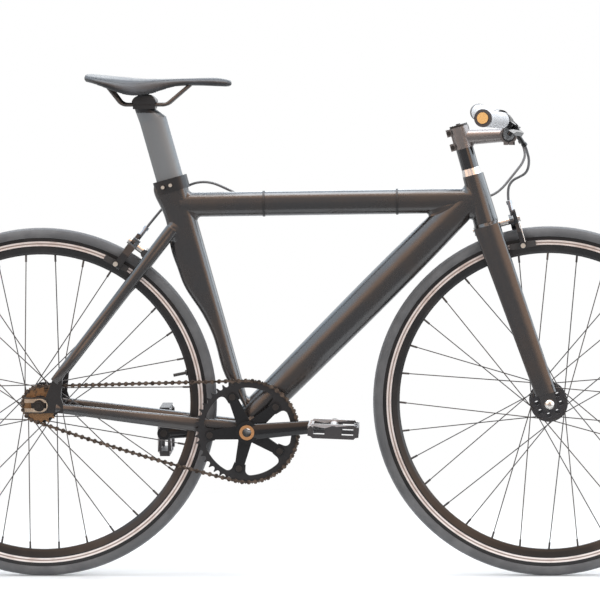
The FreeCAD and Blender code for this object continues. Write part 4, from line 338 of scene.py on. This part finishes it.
def tyre_finish(name, forward):
    """Dusty rubber with slanted cuts in the tread, a painted grey-blue highlight on the tread and rings on the
    sidewall.
    """
    finish = Finish(name, (0.05, 0.051, 0.054), 0.72, Specular_IOR_Level=0.35)
    run, rise, side = about_axle(finish, forward)
    away = distance(run, rise)
    tread = away.ramp(*tread_radii)
    turn = rise.math("ARCTAN2", run)
    cuts = (turn * 620.0 + side.math("ABSOLUTE") * 900.0).math("SINE") * 0.5 + 0.5
    rings = (away * 2600.0).math("SINE") * 0.5 + 0.5
    wall = away.band(*wall_radii, 0.0012)
    dust = finish.noise(26.0, 6.0)
    rubber = finish.blend(dust.ramp(0.4, 0.75), (0.098, 0.098, 0.101), (0.142, 0.140, 0.142))
    # The tread is painted lighter and grey-blue as a painted highlight.
    rubber = finish.blend(tread * 0.6, rubber, (0.185, 0.190, 0.200))
    finish.set("Base Color", rubber)
    finish.set("Roughness", 0.62 + dust * 0.22)
    finish.bump(cuts * tread * 0.7 + rings * wall * 0.22 + finish.noise(1900.0) * 0.18, 0.0004, 0.6)
    return finish


for name, forward in (("front", axle_x), ("rear", -axle_x)):
    dress(rim_finish(name + "_rim_black_and_bare", forward), name + "_rim")
    dress(tyre_finish(name + "_tyre_rubber", forward), name + "_tyre")
print("rims and tyres dressed")

# %% [markdown]
# ## Rubber, plastic and small trim
# Grips are light grey rubber with a fine pebble. Cable housing is a smooth dark plastic, its grey painted lighter
# as a painted highlight; ties are moulded nylon, and the spacers under the stem are glossy black rings.


# %% Moulded finishes
def moulded(name, colour, roughness, pebble, depth, drift=0.12, **constants):
    """Rubber or plastic with a pebble of that scale and a slow drift in its colour."""
    finish = Finish(name, colour, roughness, **constants)
    drifted = tuple(channel * (1 + drift) for channel in colour)
    shaded = tuple(channel * (1 - drift) for channel in colour)
    patch = finish.noise(22.0, 5.0)
    grain = finish.noise(pebble, 3.0)
    finish.set("Base Color", finish.blend(patch.ramp(0.35, 0.65), shaded, drifted))
    finish.set("Roughness", (roughness - 0.05) + grain * 0.1)
    finish.bump(grain, depth, 0.7)
    return finish


# The housing's grey is lighter than its dark plastic: a painted highlight.
housing = moulded("cable_housing", (0.105, 0.105, 0.11), 0.36, 700.0, 0.00004)
nylon = moulded("nylon_tie", (0.012, 0.012, 0.0125), 0.45, 900.0, 0.00004)
spacer = moulded("spacer_gloss", (0.010, 0.010, 0.011), 0.12, 300.0, 0.00001,
                 Coat_Weight=0.4, Coat_Roughness=0.05)
grip_rubber = moulded("light_grey_grip", (0.60, 0.61, 0.63), 0.62, 1300.0, 0.00018, 0.05)
butyl = moulded("inner_tube_butyl", (0.03, 0.03, 0.03), 0.5, 400.0, 0.00003)
shell = moulded("saddle_shell", (0.014, 0.014, 0.015), 0.38, 600.0, 0.00005)
dress(housing, "front_brake_cable", "rear_brake_cable", "rear_brake_cable_loop")
dress(nylon, "cable_ties", "crank_spindle")
dress(spacer, "headset_spacers")
dress(butyl, "front_inner_tube", "rear_inner_tube")
dress(shell, "saddle_base")
dress(grip_rubber, "grips")
print("moulded finishes ready")

# %% [markdown]
# ## Two finishes on one solid
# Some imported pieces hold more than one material: a grip ends in a dark ring and a bronze plug, and each brake
# arm carries a rubber pad. The mesh stays as it is, and faces are given a second slot by where they lie. The
# places are in millimetres, as in the solid model.


# %% Faces by place
def dress_where(finish, name, test):
    """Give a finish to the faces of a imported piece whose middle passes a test, in millimetres."""
    mesh = nodes[name].data
    mesh.materials.append(finish.material)
    index = len(mesh.materials) - 1
    count = 0
    for face in mesh.polygons:
        middle = face.center * 1000.0
        if test(middle):
            face.material_index = index
            count += 1
    print(f"{name}: {count} faces in {finish.material.name}")


# %% Grips, pads and pedals
grip_end = Vector((355.0, 265.0, 881.9))
grip_way = Vector((-50.5, 180.0, 10.0)).normalized()
ring_start = -5.2
plug_start = 0.35
pad_sides = (11.0, 22.6)
pad_tops = {"front": 645.5, "rear": 620.0}
right_pedal_edge_z = 306.5
left_pedal_x = -256.7
left_pedal_edge = 10.5


def along_grip(middle):
    """Distance past the bar's end along the grip, on either side of the bicycle."""
    return (Vector((middle.x, abs(middle.y), middle.z)) - grip_end).dot(grip_way)


ring_rubber = moulded("dark_grip_ring", (0.045, 0.042, 0.046), 0.4, 500.0, 0.00004)
bronze_plug = metal("bronze_bar_plug", (0.72, 0.44, 0.17), 0.34, 0.45, (0.46, 0.25, 0.09), 0.12)
pad_rubber = moulded("brake_pad_rubber", (0.030, 0.030, 0.031), 0.6, 800.0, 0.00006)
worn_edge = metal("worn_pedal_edge", (0.52, 0.52, 0.53), 0.33, 0.9, (0.16, 0.16, 0.165), 0.12)
pedal_grey = metal("grey_pedal_alloy", (0.060, 0.060, 0.063), 0.40, 0.5, (0.16, 0.16, 0.165), 0.06)
dress(pedal_grey, "right_pedal", "left_pedal")
dress_where(ring_rubber, "grips", lambda p: ring_start < along_grip(p) <= plug_start)
dress_where(bronze_plug, "grips", lambda p: along_grip(p) > plug_start)
for name in brake_arms:
    top = pad_tops[name.split("_")[0]]
    dress_where(pad_rubber, name, lambda p, top=top: pad_sides[0] < abs(p.y) < pad_sides[1] and p.z < top)
dress_where(worn_edge, "right_pedal", lambda p: p.z > right_pedal_edge_z)
dress_where(worn_edge, "left_pedal", lambda p: abs(p.x - left_pedal_x) > left_pedal_edge)

# %% [markdown]
# ## Bolt heads, adjusters and the headset cover
# Small bright parts catch the eye first: zinc bolt heads on the black clamp and brakes, satin cable adjusters and
# the bare cover of the upper bearing. Their faces are found by their distance from a bolt's axis, by their height,
# or by how far up the steering axis they lie.


# %% Small bright parts
def on_axis(places, radius):
    """A test for faces near one of some axes across the bicycle, each at an x and a z in millimetres."""
    return lambda p: any(math.hypot(p.x - x, p.z - z) < radius for x, z in places)


clamp_heads = on_axis([(-234.7, 751.1), (-249.1, 747.1)], 3.7)
clamp_head_side = -20.9
pad_heads = on_axis([(435.4, 635.0), (-339.5, 602.3)], 5.4)
pad_head_side = 33.4
adjuster_starts = {"front_brake_arm_right": 704.0, "rear_brake_arm_left": 656.0}
post_head_start = 889.0
steer_foot = Vector((364.47, 0.0, 678.0))
steer_way = Vector((-0.26724, 0.0, 0.96363))
cover_top = 106.7
cream_bolt = metal("zinc_clamp_bolt", (0.70, 0.66, 0.58), 0.3, 1.0)
adjuster = metal("satin_adjuster", (0.26, 0.275, 0.30), 0.26, 1.0)
silver_cover = metal("bare_headset_cover", (0.72, 0.71, 0.70), 0.27, 1.0, (0.5, 0.48, 0.46), 0.05)
dress_where(cream_bolt, "seat_clamp", lambda p: p.y < clamp_head_side and clamp_heads(p))
for name in brake_arms:
    dress_where(cream_bolt, name, lambda p: abs(p.y) > pad_head_side and pad_heads(p))
for name, start in adjuster_starts.items():
    dress_where(adjuster, name, lambda p, start=start: p.z > start)
dress_where(black_alloy, "seatpost", lambda p: p.z > post_head_start)
dress_where(silver_cover, "headset_spacers", lambda p: (p - steer_foot).dot(steer_way) < cover_top)
print("second finishes placed")

# %% [markdown]
# ## Dropouts
# The plates that hold the rear axle are painted with the frame, and the nut has rubbed the paint off along the
# slot. The bare patch is a straight strip with a round front end, so its mask is a distance from a line.

# %% Painted plates with a bare slot
slot_end = 0.0035
slot_back = (-0.0406, -0.0394)
slot_edge = (0.0122, 0.0134)
plate_black = (0.012, 0.011, 0.011)
dropout_finish = Finish("painted_dropout_bare_slot", plate_black, 0.26, Specular_IOR_Level=0.6)
run, rise = about_axle(dropout_finish, -axle_x)[:2]
past_end = (run - slot_end).math("MAXIMUM", 0.0)
bare = run.ramp(*slot_back) * (1 - distance(past_end, rise).ramp(*slot_edge))
scuffs = dropout_finish.noise(55.0, 6.0)
bare_colour = dropout_finish.blend(scuffs.ramp(0.4, 0.7), (0.56, 0.48, 0.38), (0.36, 0.29, 0.22))
dropout_finish.set("Base Color", dropout_finish.blend(bare, plate_black, bare_colour))
dropout_finish.set("Metallic", bare * 0.85)
dropout_finish.set("Roughness", 0.26 + bare * 0.12 + scuffs * 0.06)
dress(dropout_finish, "dropouts")
print("dropouts dressed")

# %% [markdown]
# ## Brake cable housings
# Real housing is one smooth springy curve. A NURBS spline through the same control points as the solid gives that
# line, and a round bevel gives the housing. The front cable turns with the handlebar. The rear one has a free
# loop at the head of the frame, then runs along the top tube to the rear brake.


# %% Housing along control points
def housing_tube(name, points, radius):
    """A round tube along a smooth spline, as a plain mesh."""
    curve = bpy.data.curves.new(name + "_line", "CURVE")
    curve.dimensions = "3D"
    curve.bevel_depth = radius
    curve.bevel_resolution = 5
    curve.resolution_u = 10
    curve.use_fill_caps = True
    spline = curve.splines.new("NURBS")
    spline.points.add(len(points) - 1)
    for point, place in zip(spline.points, points):
        point.co = (*[value / 1000.0 for value in place], 1.0)
    spline.order_u = 3
    spline.use_endpoint_u = True
    line = put(name + "_line", curve)
    mesh = settled(line)
    bpy.data.objects.remove(line)
    piece = put(name, mesh)
    mesh.materials.clear()
    mesh.materials.append(housing.material)
    mesh.shade_smooth()
    print(name, len(mesh.polygons), "faces")
    return piece


# %% Routes of the housings
# The points are in millimetres.
housing_radius = 0.0025
front_route = [(437.2, -106.1, 826.1), (444.1, -97.3, 807.9), (445.1, -85.9, 789.5), (440.5, -71.3, 774.4),
               (428.8, -55.0, 766.6), (414.3, -40.8, 759.3), (405.7, -31.4, 742.3), (407.87, -29.0, 720.96)]
loop_route = [(437.2, 106.1, 826.1), (444.5, 97.2, 807.3), (438.8, 86.1, 788.9), (426.1, 76.5, 773.2),
              (412.7, 68.0, 757.2), (399.2, 59.8, 741.2), (383.0, 50.6, 728.8), (363.7, 40.6, 723.5),
              (343.3, 31.3, 723.7), (322.1, 24.0, 725.7), (300.0, 20.8, 726.9)]
rear_route = [(300.0, 20.8, 726.9), (260.0, 20.8, 726.45), (-60.0, 20.8, 722.8), (-90.0, 20.8, 722.5),
              (-128.0, 21.5, 742.0), (-160.0, 22.5, 756.0), (-192.0, 24.5, 755.0), (-220.0, 26.5, 739.0),
              (-244.0, 28.5, 715.0), (-264.0, 29.0, 693.0), (-282.9, 29.0, 669.6)]

# %% The three housings
front_housing = housing_tube("front_brake_housing", front_route, housing_radius)
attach(front_housing, "steering")
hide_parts("front_brake_cable")
rear_housing = housing_tube("rear_brake_housing", rear_route, housing_radius)
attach(rear_housing, "frame")
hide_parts("rear_brake_cable")
loop_housing = housing_tube("rear_brake_housing_loop", loop_route, housing_radius)
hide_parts("rear_brake_cable_loop")
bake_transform(loop_housing)

# %% [markdown]
# ## Saddle
# A thin foam pad under stretched synthetic leather, on a moulded shell. The solid gives its plan and crown. Here
# a copy is remeshed fine, its edges are relaxed as stretched leather relaxes them, and a shallow channel runs down
# the middle. The leather has a fine grain, a faint sheen painted into its colour as lighter bluish patches, and a
# line of stitches inside its rim.

# %% Leather
leather = Finish("grained_saddle_leather", (0.022, 0.023, 0.026), 0.42, Specular_IOR_Level=0.45)
cells = leather.add("ShaderNodeTexVoronoi", {"feature": "DISTANCE_TO_EDGE"},
                    {"Vector": leather.place(), "Scale": 620.0})
pores = cells.ramp(0.0, 0.16)
shine = leather.noise(18.0, 4.0)
# Lighter bluish patches in the leather's colour are a painted sheen.
leather.set("Base Color", leather.blend(shine.ramp(0.35, 0.7), (0.017, 0.0175, 0.019), (0.030, 0.032, 0.037)))
leather.set("Roughness", 0.36 + shine * 0.16)
leather.bump(pores * 0.7 + leather.noise(240.0) * 0.3, 0.00012, 0.55)
print("leather:", len(leather.tree.nodes), "nodes")

# %% Cover, remeshed and relaxed
saddle_mesh = nodes["saddle_cover"].data.copy()
saddle_mesh.materials.clear()
saddle_mesh.materials.append(leather.material)
saddle = put("saddle_leather_cover", saddle_mesh)
shape = bmesh.new()
shape.from_mesh(saddle_mesh)
bmesh.ops.remove_doubles(shape, verts=shape.verts, dist=merge_distance)
shape.to_mesh(saddle_mesh)
shape.free()
remesh = saddle.modifiers.new("fine", "REMESH")
remesh.mode = "VOXEL"
remesh.voxel_size = 0.0021
relax = saddle.modifiers.new("relax", "SMOOTH")
relax.factor = 0.5
relax.iterations = 6
fine = settled(saddle)
saddle.modifiers.clear()
saddle.data = fine
print("saddle cover", len(fine.polygons), "faces")

# %% A channel down the middle
channel_start = 0.12
channel_length = 0.78
channel_depth = 0.0021
channel_half_width = 0.0085
upward_share = 0.4
low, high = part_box("saddle_cover")
length = high[0] - low[0]
for vertex in fine.vertices:
    share = ((vertex.co.x - low[0]) / length - channel_start) / channel_length
    if vertex.normal.z > upward_share and 0 < share < 1:
        trough = math.exp(-((vertex.co.y / channel_half_width) ** 2))
        vertex.co.z -= channel_depth * math.sin(math.pi * share) * trough
print("channel", channel_depth, "m deep")

# %% The flanks hang lower in the middle
# The cover is measured in short slices, so that the crown keeps its height and only the edges come down.
flank_drop = 0.0135
flank_middle = 0.36
flank_spread = 0.21
flank_start = 0.72
flank_width = 0.2
flank_power = 1.5
slice_length = 0.004
least_height = 0.001


def slice_of(vertex):
    return round((vertex.co.x - low[0]) / slice_length)


slices = {}
for vertex in fine.vertices:
    span = slices.setdefault(slice_of(vertex), [math.inf, -math.inf, 0.0])
    span[0] = min(span[0], vertex.co.z)
    span[1] = max(span[1], vertex.co.z)
    span[2] = max(span[2], abs(vertex.co.y))
for vertex in fine.vertices:
    bottom, top, half = slices[slice_of(vertex)]
    share = (vertex.co.x - low[0]) / length
    depth = (top - vertex.co.z) / max(top - bottom, least_height)
    edge = min(1.0, max(0.0, (abs(vertex.co.y) / half - flank_start) / flank_width))
    fade = math.exp(-(((share - flank_middle) / flank_spread) ** 2))
    vertex.co.z -= flank_drop * fade * edge * edge * (3 - 2 * edge) * depth ** flank_power
print("flanks lowered by", flank_drop)

# %% Hand the cover over
fine.shade_smooth()
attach(saddle, "seatpost")
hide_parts("saddle_cover")
print("saddle cover handed over")

# %% [markdown]
# ## Clamp cap
# The rails are held between the head of the post and a domed cap. The solid gives the flat plate in it. The dome
# is half an oval drawn out across the bicycle, with a small bevel, and it covers the plate's top and its bolts.

# %% Domed cap over the clamp plate
cap_x = -0.2834
cap_z = 0.9085
cap_half_length = 0.0235
cap_height = 0.0155
cap_half_width = 0.0286
cap_steps = 24
cap = bmesh.new()
arch = [(cap_x + cap_half_length * math.cos(math.pi * step / cap_steps),
         cap_z + cap_height * math.sin(math.pi * step / cap_steps)) for step in range(cap_steps + 1)]
side = cap.faces.new([cap.verts.new((x, -cap_half_width, z)) for x, z in arch])
drawn = bmesh.ops.extrude_face_region(cap, geom=[side])["geom"]
far_side = [item for item in drawn if isinstance(item, bmesh.types.BMVert)]
bmesh.ops.translate(cap, vec=(0, 2 * cap_half_width, 0), verts=far_side)
bmesh.ops.recalc_face_normals(cap, faces=cap.faces)
cap_mesh = bpy.data.meshes.new("post_clamp_cap")
cap.to_mesh(cap_mesh)
cap.free()
cap_mesh.materials.append(black_alloy.material)
clamp_cap = put("post_clamp_cap", cap_mesh)
soften = clamp_cap.modifiers.new("soft_edge", "BEVEL")
soften.width = 0.0016
soften.segments = 3
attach(clamp_cap, "seatpost")
print("clamp cap", len(cap_mesh.polygons), "faces")

# %% [markdown]
# ## Smoothed welds
# The real tubes flow into each other, because the welds are filed smooth under the paint. The solids meet in
# sharp creases. Here simple filled copies of the tubes are merged into one skin of small squares, and the skin is
# relaxed only near the creases, where it swells out of the corner. Just those strips are kept, and their edges are
# tucked under the tubes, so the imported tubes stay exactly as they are.


# %% Filled copies of the tubes
def filled(name, way, step=0.006, overlap=1e-5):
    """Convex slices of a tube along its length, which close its bore and keep its bends."""
    whole = bmesh.new()
    whole.from_mesh(nodes[name].data)
    bmesh.ops.remove_doubles(whole, verts=whole.verts, dist=merge_distance)
    way = Vector(way).normalized()
    result = bmesh.new()
    sides = (-1, 1) if name in ("chainstays", "seatstays") else (0,)
    for side in sides:
        half = whole.copy()
        if side:
            away = [v for v in half.verts if v.co.y * side < 0]
            bmesh.ops.delete(half, geom=away, context="VERTS")
        spread = [v.co.dot(way) for v in half.verts]
        first, last = min(spread), max(spread)
        count = max(1, int((last - first) / step))
        for index in range(1, count):
            cut = way * (first + (last - first) * index / count)
            everything = half.verts[:] + half.edges[:] + half.faces[:]
            bmesh.ops.bisect_plane(half, geom=everything, plane_co=cut, plane_no=way)
        places = sorted((v.co.dot(way), tuple(v.co)) for v in half.verts)
        for index in range(count):
            start = first + (last - first) * index / count - overlap
            end = first + (last - first) * (index + 1) / count + overlap
            inside = [result.verts.new(place) for along, place in places if start <= along <= end]
            if len(inside) > 3:
                hull = bmesh.ops.convex_hull(result, input=inside)
                loose = [v for v in hull["geom_interior"] if isinstance(v, bmesh.types.BMVert)]
                bmesh.ops.delete(result, geom=loose, context="VERTS")
        half.free()
    whole.free()
    return result


seat_way = (-0.26791, 0.0, 0.96344)
tube_ways = {"head_tube": steer_way, "top_tube": (1, 0, 0.01), "down_tube": (0.71, 0, 0.70),
             "seat_tube": seat_way, "bottom_bracket_shell": (0, 1, 0), "chainstays": (-1, 0, 0.1),
             "seatstays": (-0.61, 0, -0.79)}
tubes = {name: filled(name, way) for name, way in tube_ways.items()}
trees = [BVHTree.FromBMesh(tube) for tube in tubes.values()]
print("tubes filled:", {name: len(tube.faces) for name, tube in tubes.items()})

# %% One skin of small squares
skin_mesh = bpy.data.meshes.new("weld_skin")
joined = bmesh.new()
for tube in tubes.values():
    part = bpy.data.meshes.new("part")
    tube.to_mesh(part)
    joined.from_mesh(part)
    bpy.data.meshes.remove(part)
    tube.free()
joined.to_mesh(skin_mesh)
joined.free()
skin = put("weld_skin", skin_mesh)
squares = skin.modifiers.new("squares", "REMESH")
squares.mode = "VOXEL"
squares.voxel_size = 0.0022
even = settled(skin)
bpy.data.objects.remove(skin)
print("skin:", len(even.vertices), "points")

# %% How near each point lies to a second tube
weld_reach = 0.018
start_places = np.array([v.co for v in even.vertices])
normals = np.array([v.normal for v in even.vertices])
second = np.full(len(start_places), weld_reach)
for index, vertex in enumerate(even.vertices):
    near = sorted(found[3] for found in (tree.find_nearest(vertex.co, weld_reach) for tree in trees) if found[0])
    if len(near) > 1:
        second[index] = near[1]
share = np.clip(1 - second / weld_reach, 0, 1)
share = (share * share * (3 - 2 * share))[:, None]
print("points near a crease:", int((share > 0).sum()))

# %% Relax the creases
weld_passes = 110
weld_pull = 0.5
edges = np.array([e.vertices[:] for e in even.edges])
valence = np.bincount(edges.ravel(), minlength=len(start_places))[:, None]
places = start_places.copy()
for _ in range(weld_passes):
    total = np.zeros_like(places)
    np.add.at(total, edges[:, 0], places[edges[:, 1]])
    np.add.at(total, edges[:, 1], places[edges[:, 0]])
    places += share * weld_pull * (total / valence - places)
swell = ((places - start_places) * normals).sum(axis=1)
print("swell up to", round(float(swell.max()) * 1000, 2), "mm")

# %% Keep the strips and tuck their edges under the tubes
least_swell = 0.00018
tuck_depth = 0.0007
kept = swell > least_swell
tuck = np.clip((tuck_depth - swell) / tuck_depth, 0, 1)[:, None]
places -= normals * tuck * tuck_depth
weld = bmesh.new()
weld.from_mesh(even)
weld.verts.ensure_lookup_table()
for vertex, place in zip(weld.verts, places):
    vertex.co = place
bare_faces = [f for f in weld.faces if not any(kept[v.index] for v in f.verts)]
bmesh.ops.delete(weld, geom=bare_faces, context="FACES")
weld_mesh = bpy.data.meshes.new("smoothed_welds")
weld.to_mesh(weld_mesh)
weld.free()
weld_mesh.materials.append(paint.material)
weld_mesh.shade_smooth()
welds = put("smoothed_welds", weld_mesh)
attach(welds, "frame")
print("weld strips:", len(weld_mesh.polygons), "faces")

# %% [markdown]
# ## Stitches
# The stitches round the saddle are one small shape set at many places. A Geometry Nodes tree does that: it takes
# points that carry two directions, sets a shape on each, and makes the copies real.


# %% A tree that sets a shape on points
def setter_tree(name, shape):
    """A node tree with inputs Geometry, Size and Finish; points carry the attributes facing and along."""
    tree = bpy.data.node_groups.new(name, "GeometryNodeTree")
    face = tree.interface
    face.new_socket("Geometry", in_out="INPUT", socket_type="NodeSocketGeometry")
    face.new_socket("Size", in_out="INPUT", socket_type="NodeSocketVector")
    face.new_socket("Finish", in_out="INPUT", socket_type="NodeSocketMaterial")
    face.new_socket("Geometry", in_out="OUTPUT", socket_type="NodeSocketGeometry")
    made = {}
    for kind in ("NodeGroupInput", "NodeGroupOutput", "GeometryNodeMeshToPoints", "GeometryNodeInstanceOnPoints",
                 "GeometryNodeRealizeInstances", "GeometryNodeSetMaterial", shape):
        made[kind] = tree.nodes.new(kind)
    link = tree.links.new
    turns = []
    for attribute, axis in (("facing", "Z"), ("along", "X")):
        read = tree.nodes.new("GeometryNodeInputNamedAttribute")
        read.data_type = "FLOAT_VECTOR"
        read.inputs["Name"].default_value = attribute
        align = tree.nodes.new("FunctionNodeAlignRotationToVector")
        align.axis = axis
        if axis == "X":
            align.pivot_axis = "Z"
            link(turns[0].outputs["Rotation"], align.inputs["Rotation"])
        link(read.outputs["Attribute"], align.inputs["Vector"])
        turns.append(align)
    source = made["NodeGroupInput"]
    instance = made["GeometryNodeInstanceOnPoints"]
    link(source.outputs["Geometry"], made["GeometryNodeMeshToPoints"].inputs["Mesh"])
    link(made["GeometryNodeMeshToPoints"].outputs["Points"], instance.inputs["Points"])
    link(made[shape].outputs["Mesh"], instance.inputs["Instance"])
    link(turns[1].outputs["Rotation"], instance.inputs["Rotation"])
    link(source.outputs["Size"], instance.inputs["Scale"])
    link(instance.outputs["Instances"], made["GeometryNodeRealizeInstances"].inputs["Geometry"])
    coated = made["GeometryNodeSetMaterial"]
    link(made["GeometryNodeRealizeInstances"].outputs["Geometry"], coated.inputs["Geometry"])
    link(source.outputs["Finish"], coated.inputs["Material"])
    link(coated.outputs["Geometry"], made["NodeGroupOutput"].inputs["Geometry"])
    return tree, made[shape]


bead_tree, bead_shape = setter_tree("beads", "GeometryNodeMeshUVSphere")
bead_shape.inputs["Segments"].default_value = 8
bead_shape.inputs["Rings"].default_value = 5
bead_shape.inputs["Radius"].default_value = 1.0
print("bead tree:", len(bead_tree.nodes), "nodes")


# %% A piece made of copies
def set_on(name, tree, points, size, finish):
    """A piece of copies; points are (place, facing, along) in metres."""
    mesh = bpy.data.meshes.new(name + "_points")
    mesh.from_pydata([point[0] for point in points], [], [])
    for index, attribute in ((1, "facing"), (2, "along")):
        layer = mesh.attributes.new(attribute, "FLOAT_VECTOR", "POINT")
        for item, point in zip(layer.data, points):
            item.vector = point[index]
    holder = put(name + "_points", mesh)
    modifier = holder.modifiers.new("set", "NODES")
    modifier.node_group = tree
    sockets = {item.name: item.identifier for item in tree.interface.items_tree if item.in_out == "INPUT"}
    modifier[sockets["Size"]] = size
    modifier[sockets["Finish"]] = finish.material
    made = settled(holder)
    bpy.data.objects.remove(holder)
    piece = put(name, made)
    made.shade_smooth()
    print(name, len(points), "copies,", len(made.polygons), "faces")
    return piece


# %% Saddle stitches
# The thread follows the saddle's outline a little inside its edge, on the leather's own surface.
thread = moulded("saddle_thread", (0.05, 0.052, 0.058), 0.6, 2500.0, 0.00003)
cover_tree = BVHTree.FromPolygons([v.co for v in fine.vertices], [p.vertices[:] for p in fine.polygons])
stitch_step = 0.0045
stitch_inset = 0.0065
stitch_lift = 0.0001
stitch_least_gap = 0.001
end_margin = 0.012
least_half_width = 0.012
scan_step = 0.001
scan_limit = 0.08
drop_height = 0.05


def leather_under(forward, across):
    """The place and the facing of the leather straight below a point; the place is None off the saddle."""
    return cover_tree.ray_cast(Vector((forward, across, high[2] + drop_height)), Vector((0, 0, -1)))[:2]


stitches = []
for side in (-1, 1):
    forward = low[0] + end_margin
    previous = None
    while forward < high[0] - end_margin:
        edge = 0.0
        across = 0.0
        while across < scan_limit and leather_under(forward, side * across)[0] is not None:
            edge = across
            across += scan_step
        spot, facing = leather_under(forward, side * max(0.0, edge - stitch_inset))
        if spot is not None and edge > least_half_width:
            if previous is not None and (spot - previous).length > stitch_least_gap:
                stitches.append((spot + facing * stitch_lift, facing, (spot - previous).normalized()))
            previous = spot
        forward += stitch_step
stitched = set_on("saddle_stitches", bead_tree, stitches, (0.0016, 0.0005, 0.0004), thread)
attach(stitched, "seatpost")

# %% [markdown]
# ## Floor, light and camera
# The bicycle stands on a plain pale floor in front of a white ground, which the camera and the reflections both
# see. On the camera's side the reflections see a room that is dark in the middle and warm towards its sides and
# its ceiling, with cool light overhead and a bright panel on each side. These give black tubes their brown
# flanks and pale edges. The floor fades into the ground away from the wheels and keeps their shadow.

# %% Floor that fades out
floor_mesh = bpy.data.meshes.new("floor")
reach = 9.0
front_edge = -0.6
corners = [(-reach, front_edge, 0), (reach, front_edge, 0), (reach, reach, 0), (-reach, reach, 0)]
floor_mesh.from_pydata(corners, [], [(0, 1, 2, 3)])
floor = put("floor", floor_mesh)
pale = Finish("pale_floor", (0.86, 0.86, 0.865), 0.9, Specular_IOR_Level=0.1)
x, y = pale.axes()[:2]
far = (x * x + y * y * 2.2).math("SQRT").ramp(0.75, 1.9)
sight = pale.add("ShaderNodeLightPath", output="Is Camera Ray")
glow = pale.add("ShaderNodeEmission", None, {"Color": (1.0, 1.0, 1.0), "Strength": 1.0})
faded = pale.add("ShaderNodeMixShader", None, (far * sight, Value(pale, pale.shader.outputs[0]), glow))
pale.plug(pale.tree.nodes["Material Output"].inputs["Surface"], faded)
floor_mesh.materials.append(pale.material)
print("floor", reach)

# %% White ground with tinted reflections
world = bpy.data.worlds.new("white_ground")
bpy.context.scene.world = world
world.use_nodes = True
sky = Maker(world.node_tree)
background = sky.tree.nodes["Background"]
x, y, z = sky.axes("Generated")
front = 0 - y
backdrop = sky.blend(z.ramp(0.25, 0.95), (1.0, 1.0, 1.0), (2.0, 2.3, 2.65))
upper_left = (0 - x).ramp(0.04, 0.30) * z.ramp(0.02, 0.25)
right = x.ramp(0.10, 0.36) * z.ramp(0.0, 0.08)
warm = (1 - front.ramp(0.42, 0.80) + upper_left + right).math("MINIMUM", 1.0) * z.ramp(-0.30, 0.05)
room = sky.blend(warm, (0.55, 0.54, 0.555), (2.45, 1.62, 1.15))
room = sky.blend(front.ramp(-0.05, 0.22), backdrop, room)
room = sky.blend((0 - x).ramp(0.36, 0.58) * z.ramp(0.20, 0.45), room, (2.0, 2.3, 2.6))
room = sky.blend(x.ramp(0.66, 0.84) * z.ramp(-0.15, 0.02), room, (3.6, 3.95, 4.3))
eye, mirror, clear = [sky.add("ShaderNodeLightPath", output="Is %s Ray" % ray)
                      for ray in ("Camera", "Glossy", "Transmission")]
seen = (eye + mirror + clear).math("MINIMUM", 1.0)
sky.plug(background.inputs["Color"], sky.blend(mirror, (1.0, 1.0, 1.0), room))
sky.plug(background.inputs["Strength"], 0.52 + seen * 0.48)
print("ground ready")


# %% Soft lamps
def lamp(name, place, target, size, power, colour, mirrored=True):
    """A soft lamp; one that is not mirrored only fills, and leaves no highlight on the paint."""
    data = bpy.data.lights.new(name, "AREA")
    data.shape = "RECTANGLE"
    data.size, data.size_y = size
    data.energy = power
    data.color = colour
    thing = put(name, data)
    thing.location = place
    thing.rotation_euler = (Vector(target) - Vector(place)).to_track_quat("-Z", "Y").to_euler()
    thing.visible_glossy = mirrored


lamp("overhead", (0.0, -0.1, 3.0), (0, 0, 0.4), (3.4, 1.3), 84.0, (0.92, 0.96, 1.0))
lamp("front_left", (-2.4, -3.0, 2.4), (-0.2, 0, 0.5), (1.6, 1.8), 52.0, (0.98, 0.99, 1.0), False)
lamp("front_right", (2.6, -2.6, 2.4), (0.3, 0, 0.6), (1.2, 2.0), 52.0, (0.95, 0.98, 1.0), False)
lamp("behind", (0.4, 2.6, 2.2), (0, 0, 0.5), (3.0, 1.4), 40.0, (0.92, 0.96, 1.0))
print("lamps: 4")

# %% Camera at the photograph's place
camera_data = bpy.data.cameras.new("camera")
camera_data.lens = 220.08
camera_data.sensor_width = 36.0
camera = put("camera", camera_data)
camera.location = (0.2388, -6.9887, 1.0337)
camera.rotation_euler = [math.radians(angle) for angle in (85.8818, 0.2713, 1.8511)]
bpy.context.scene.camera = camera
bpy.context.scene.view_settings.view_transform = "Standard"
print("camera at", [round(value, 3) for value in camera.location])
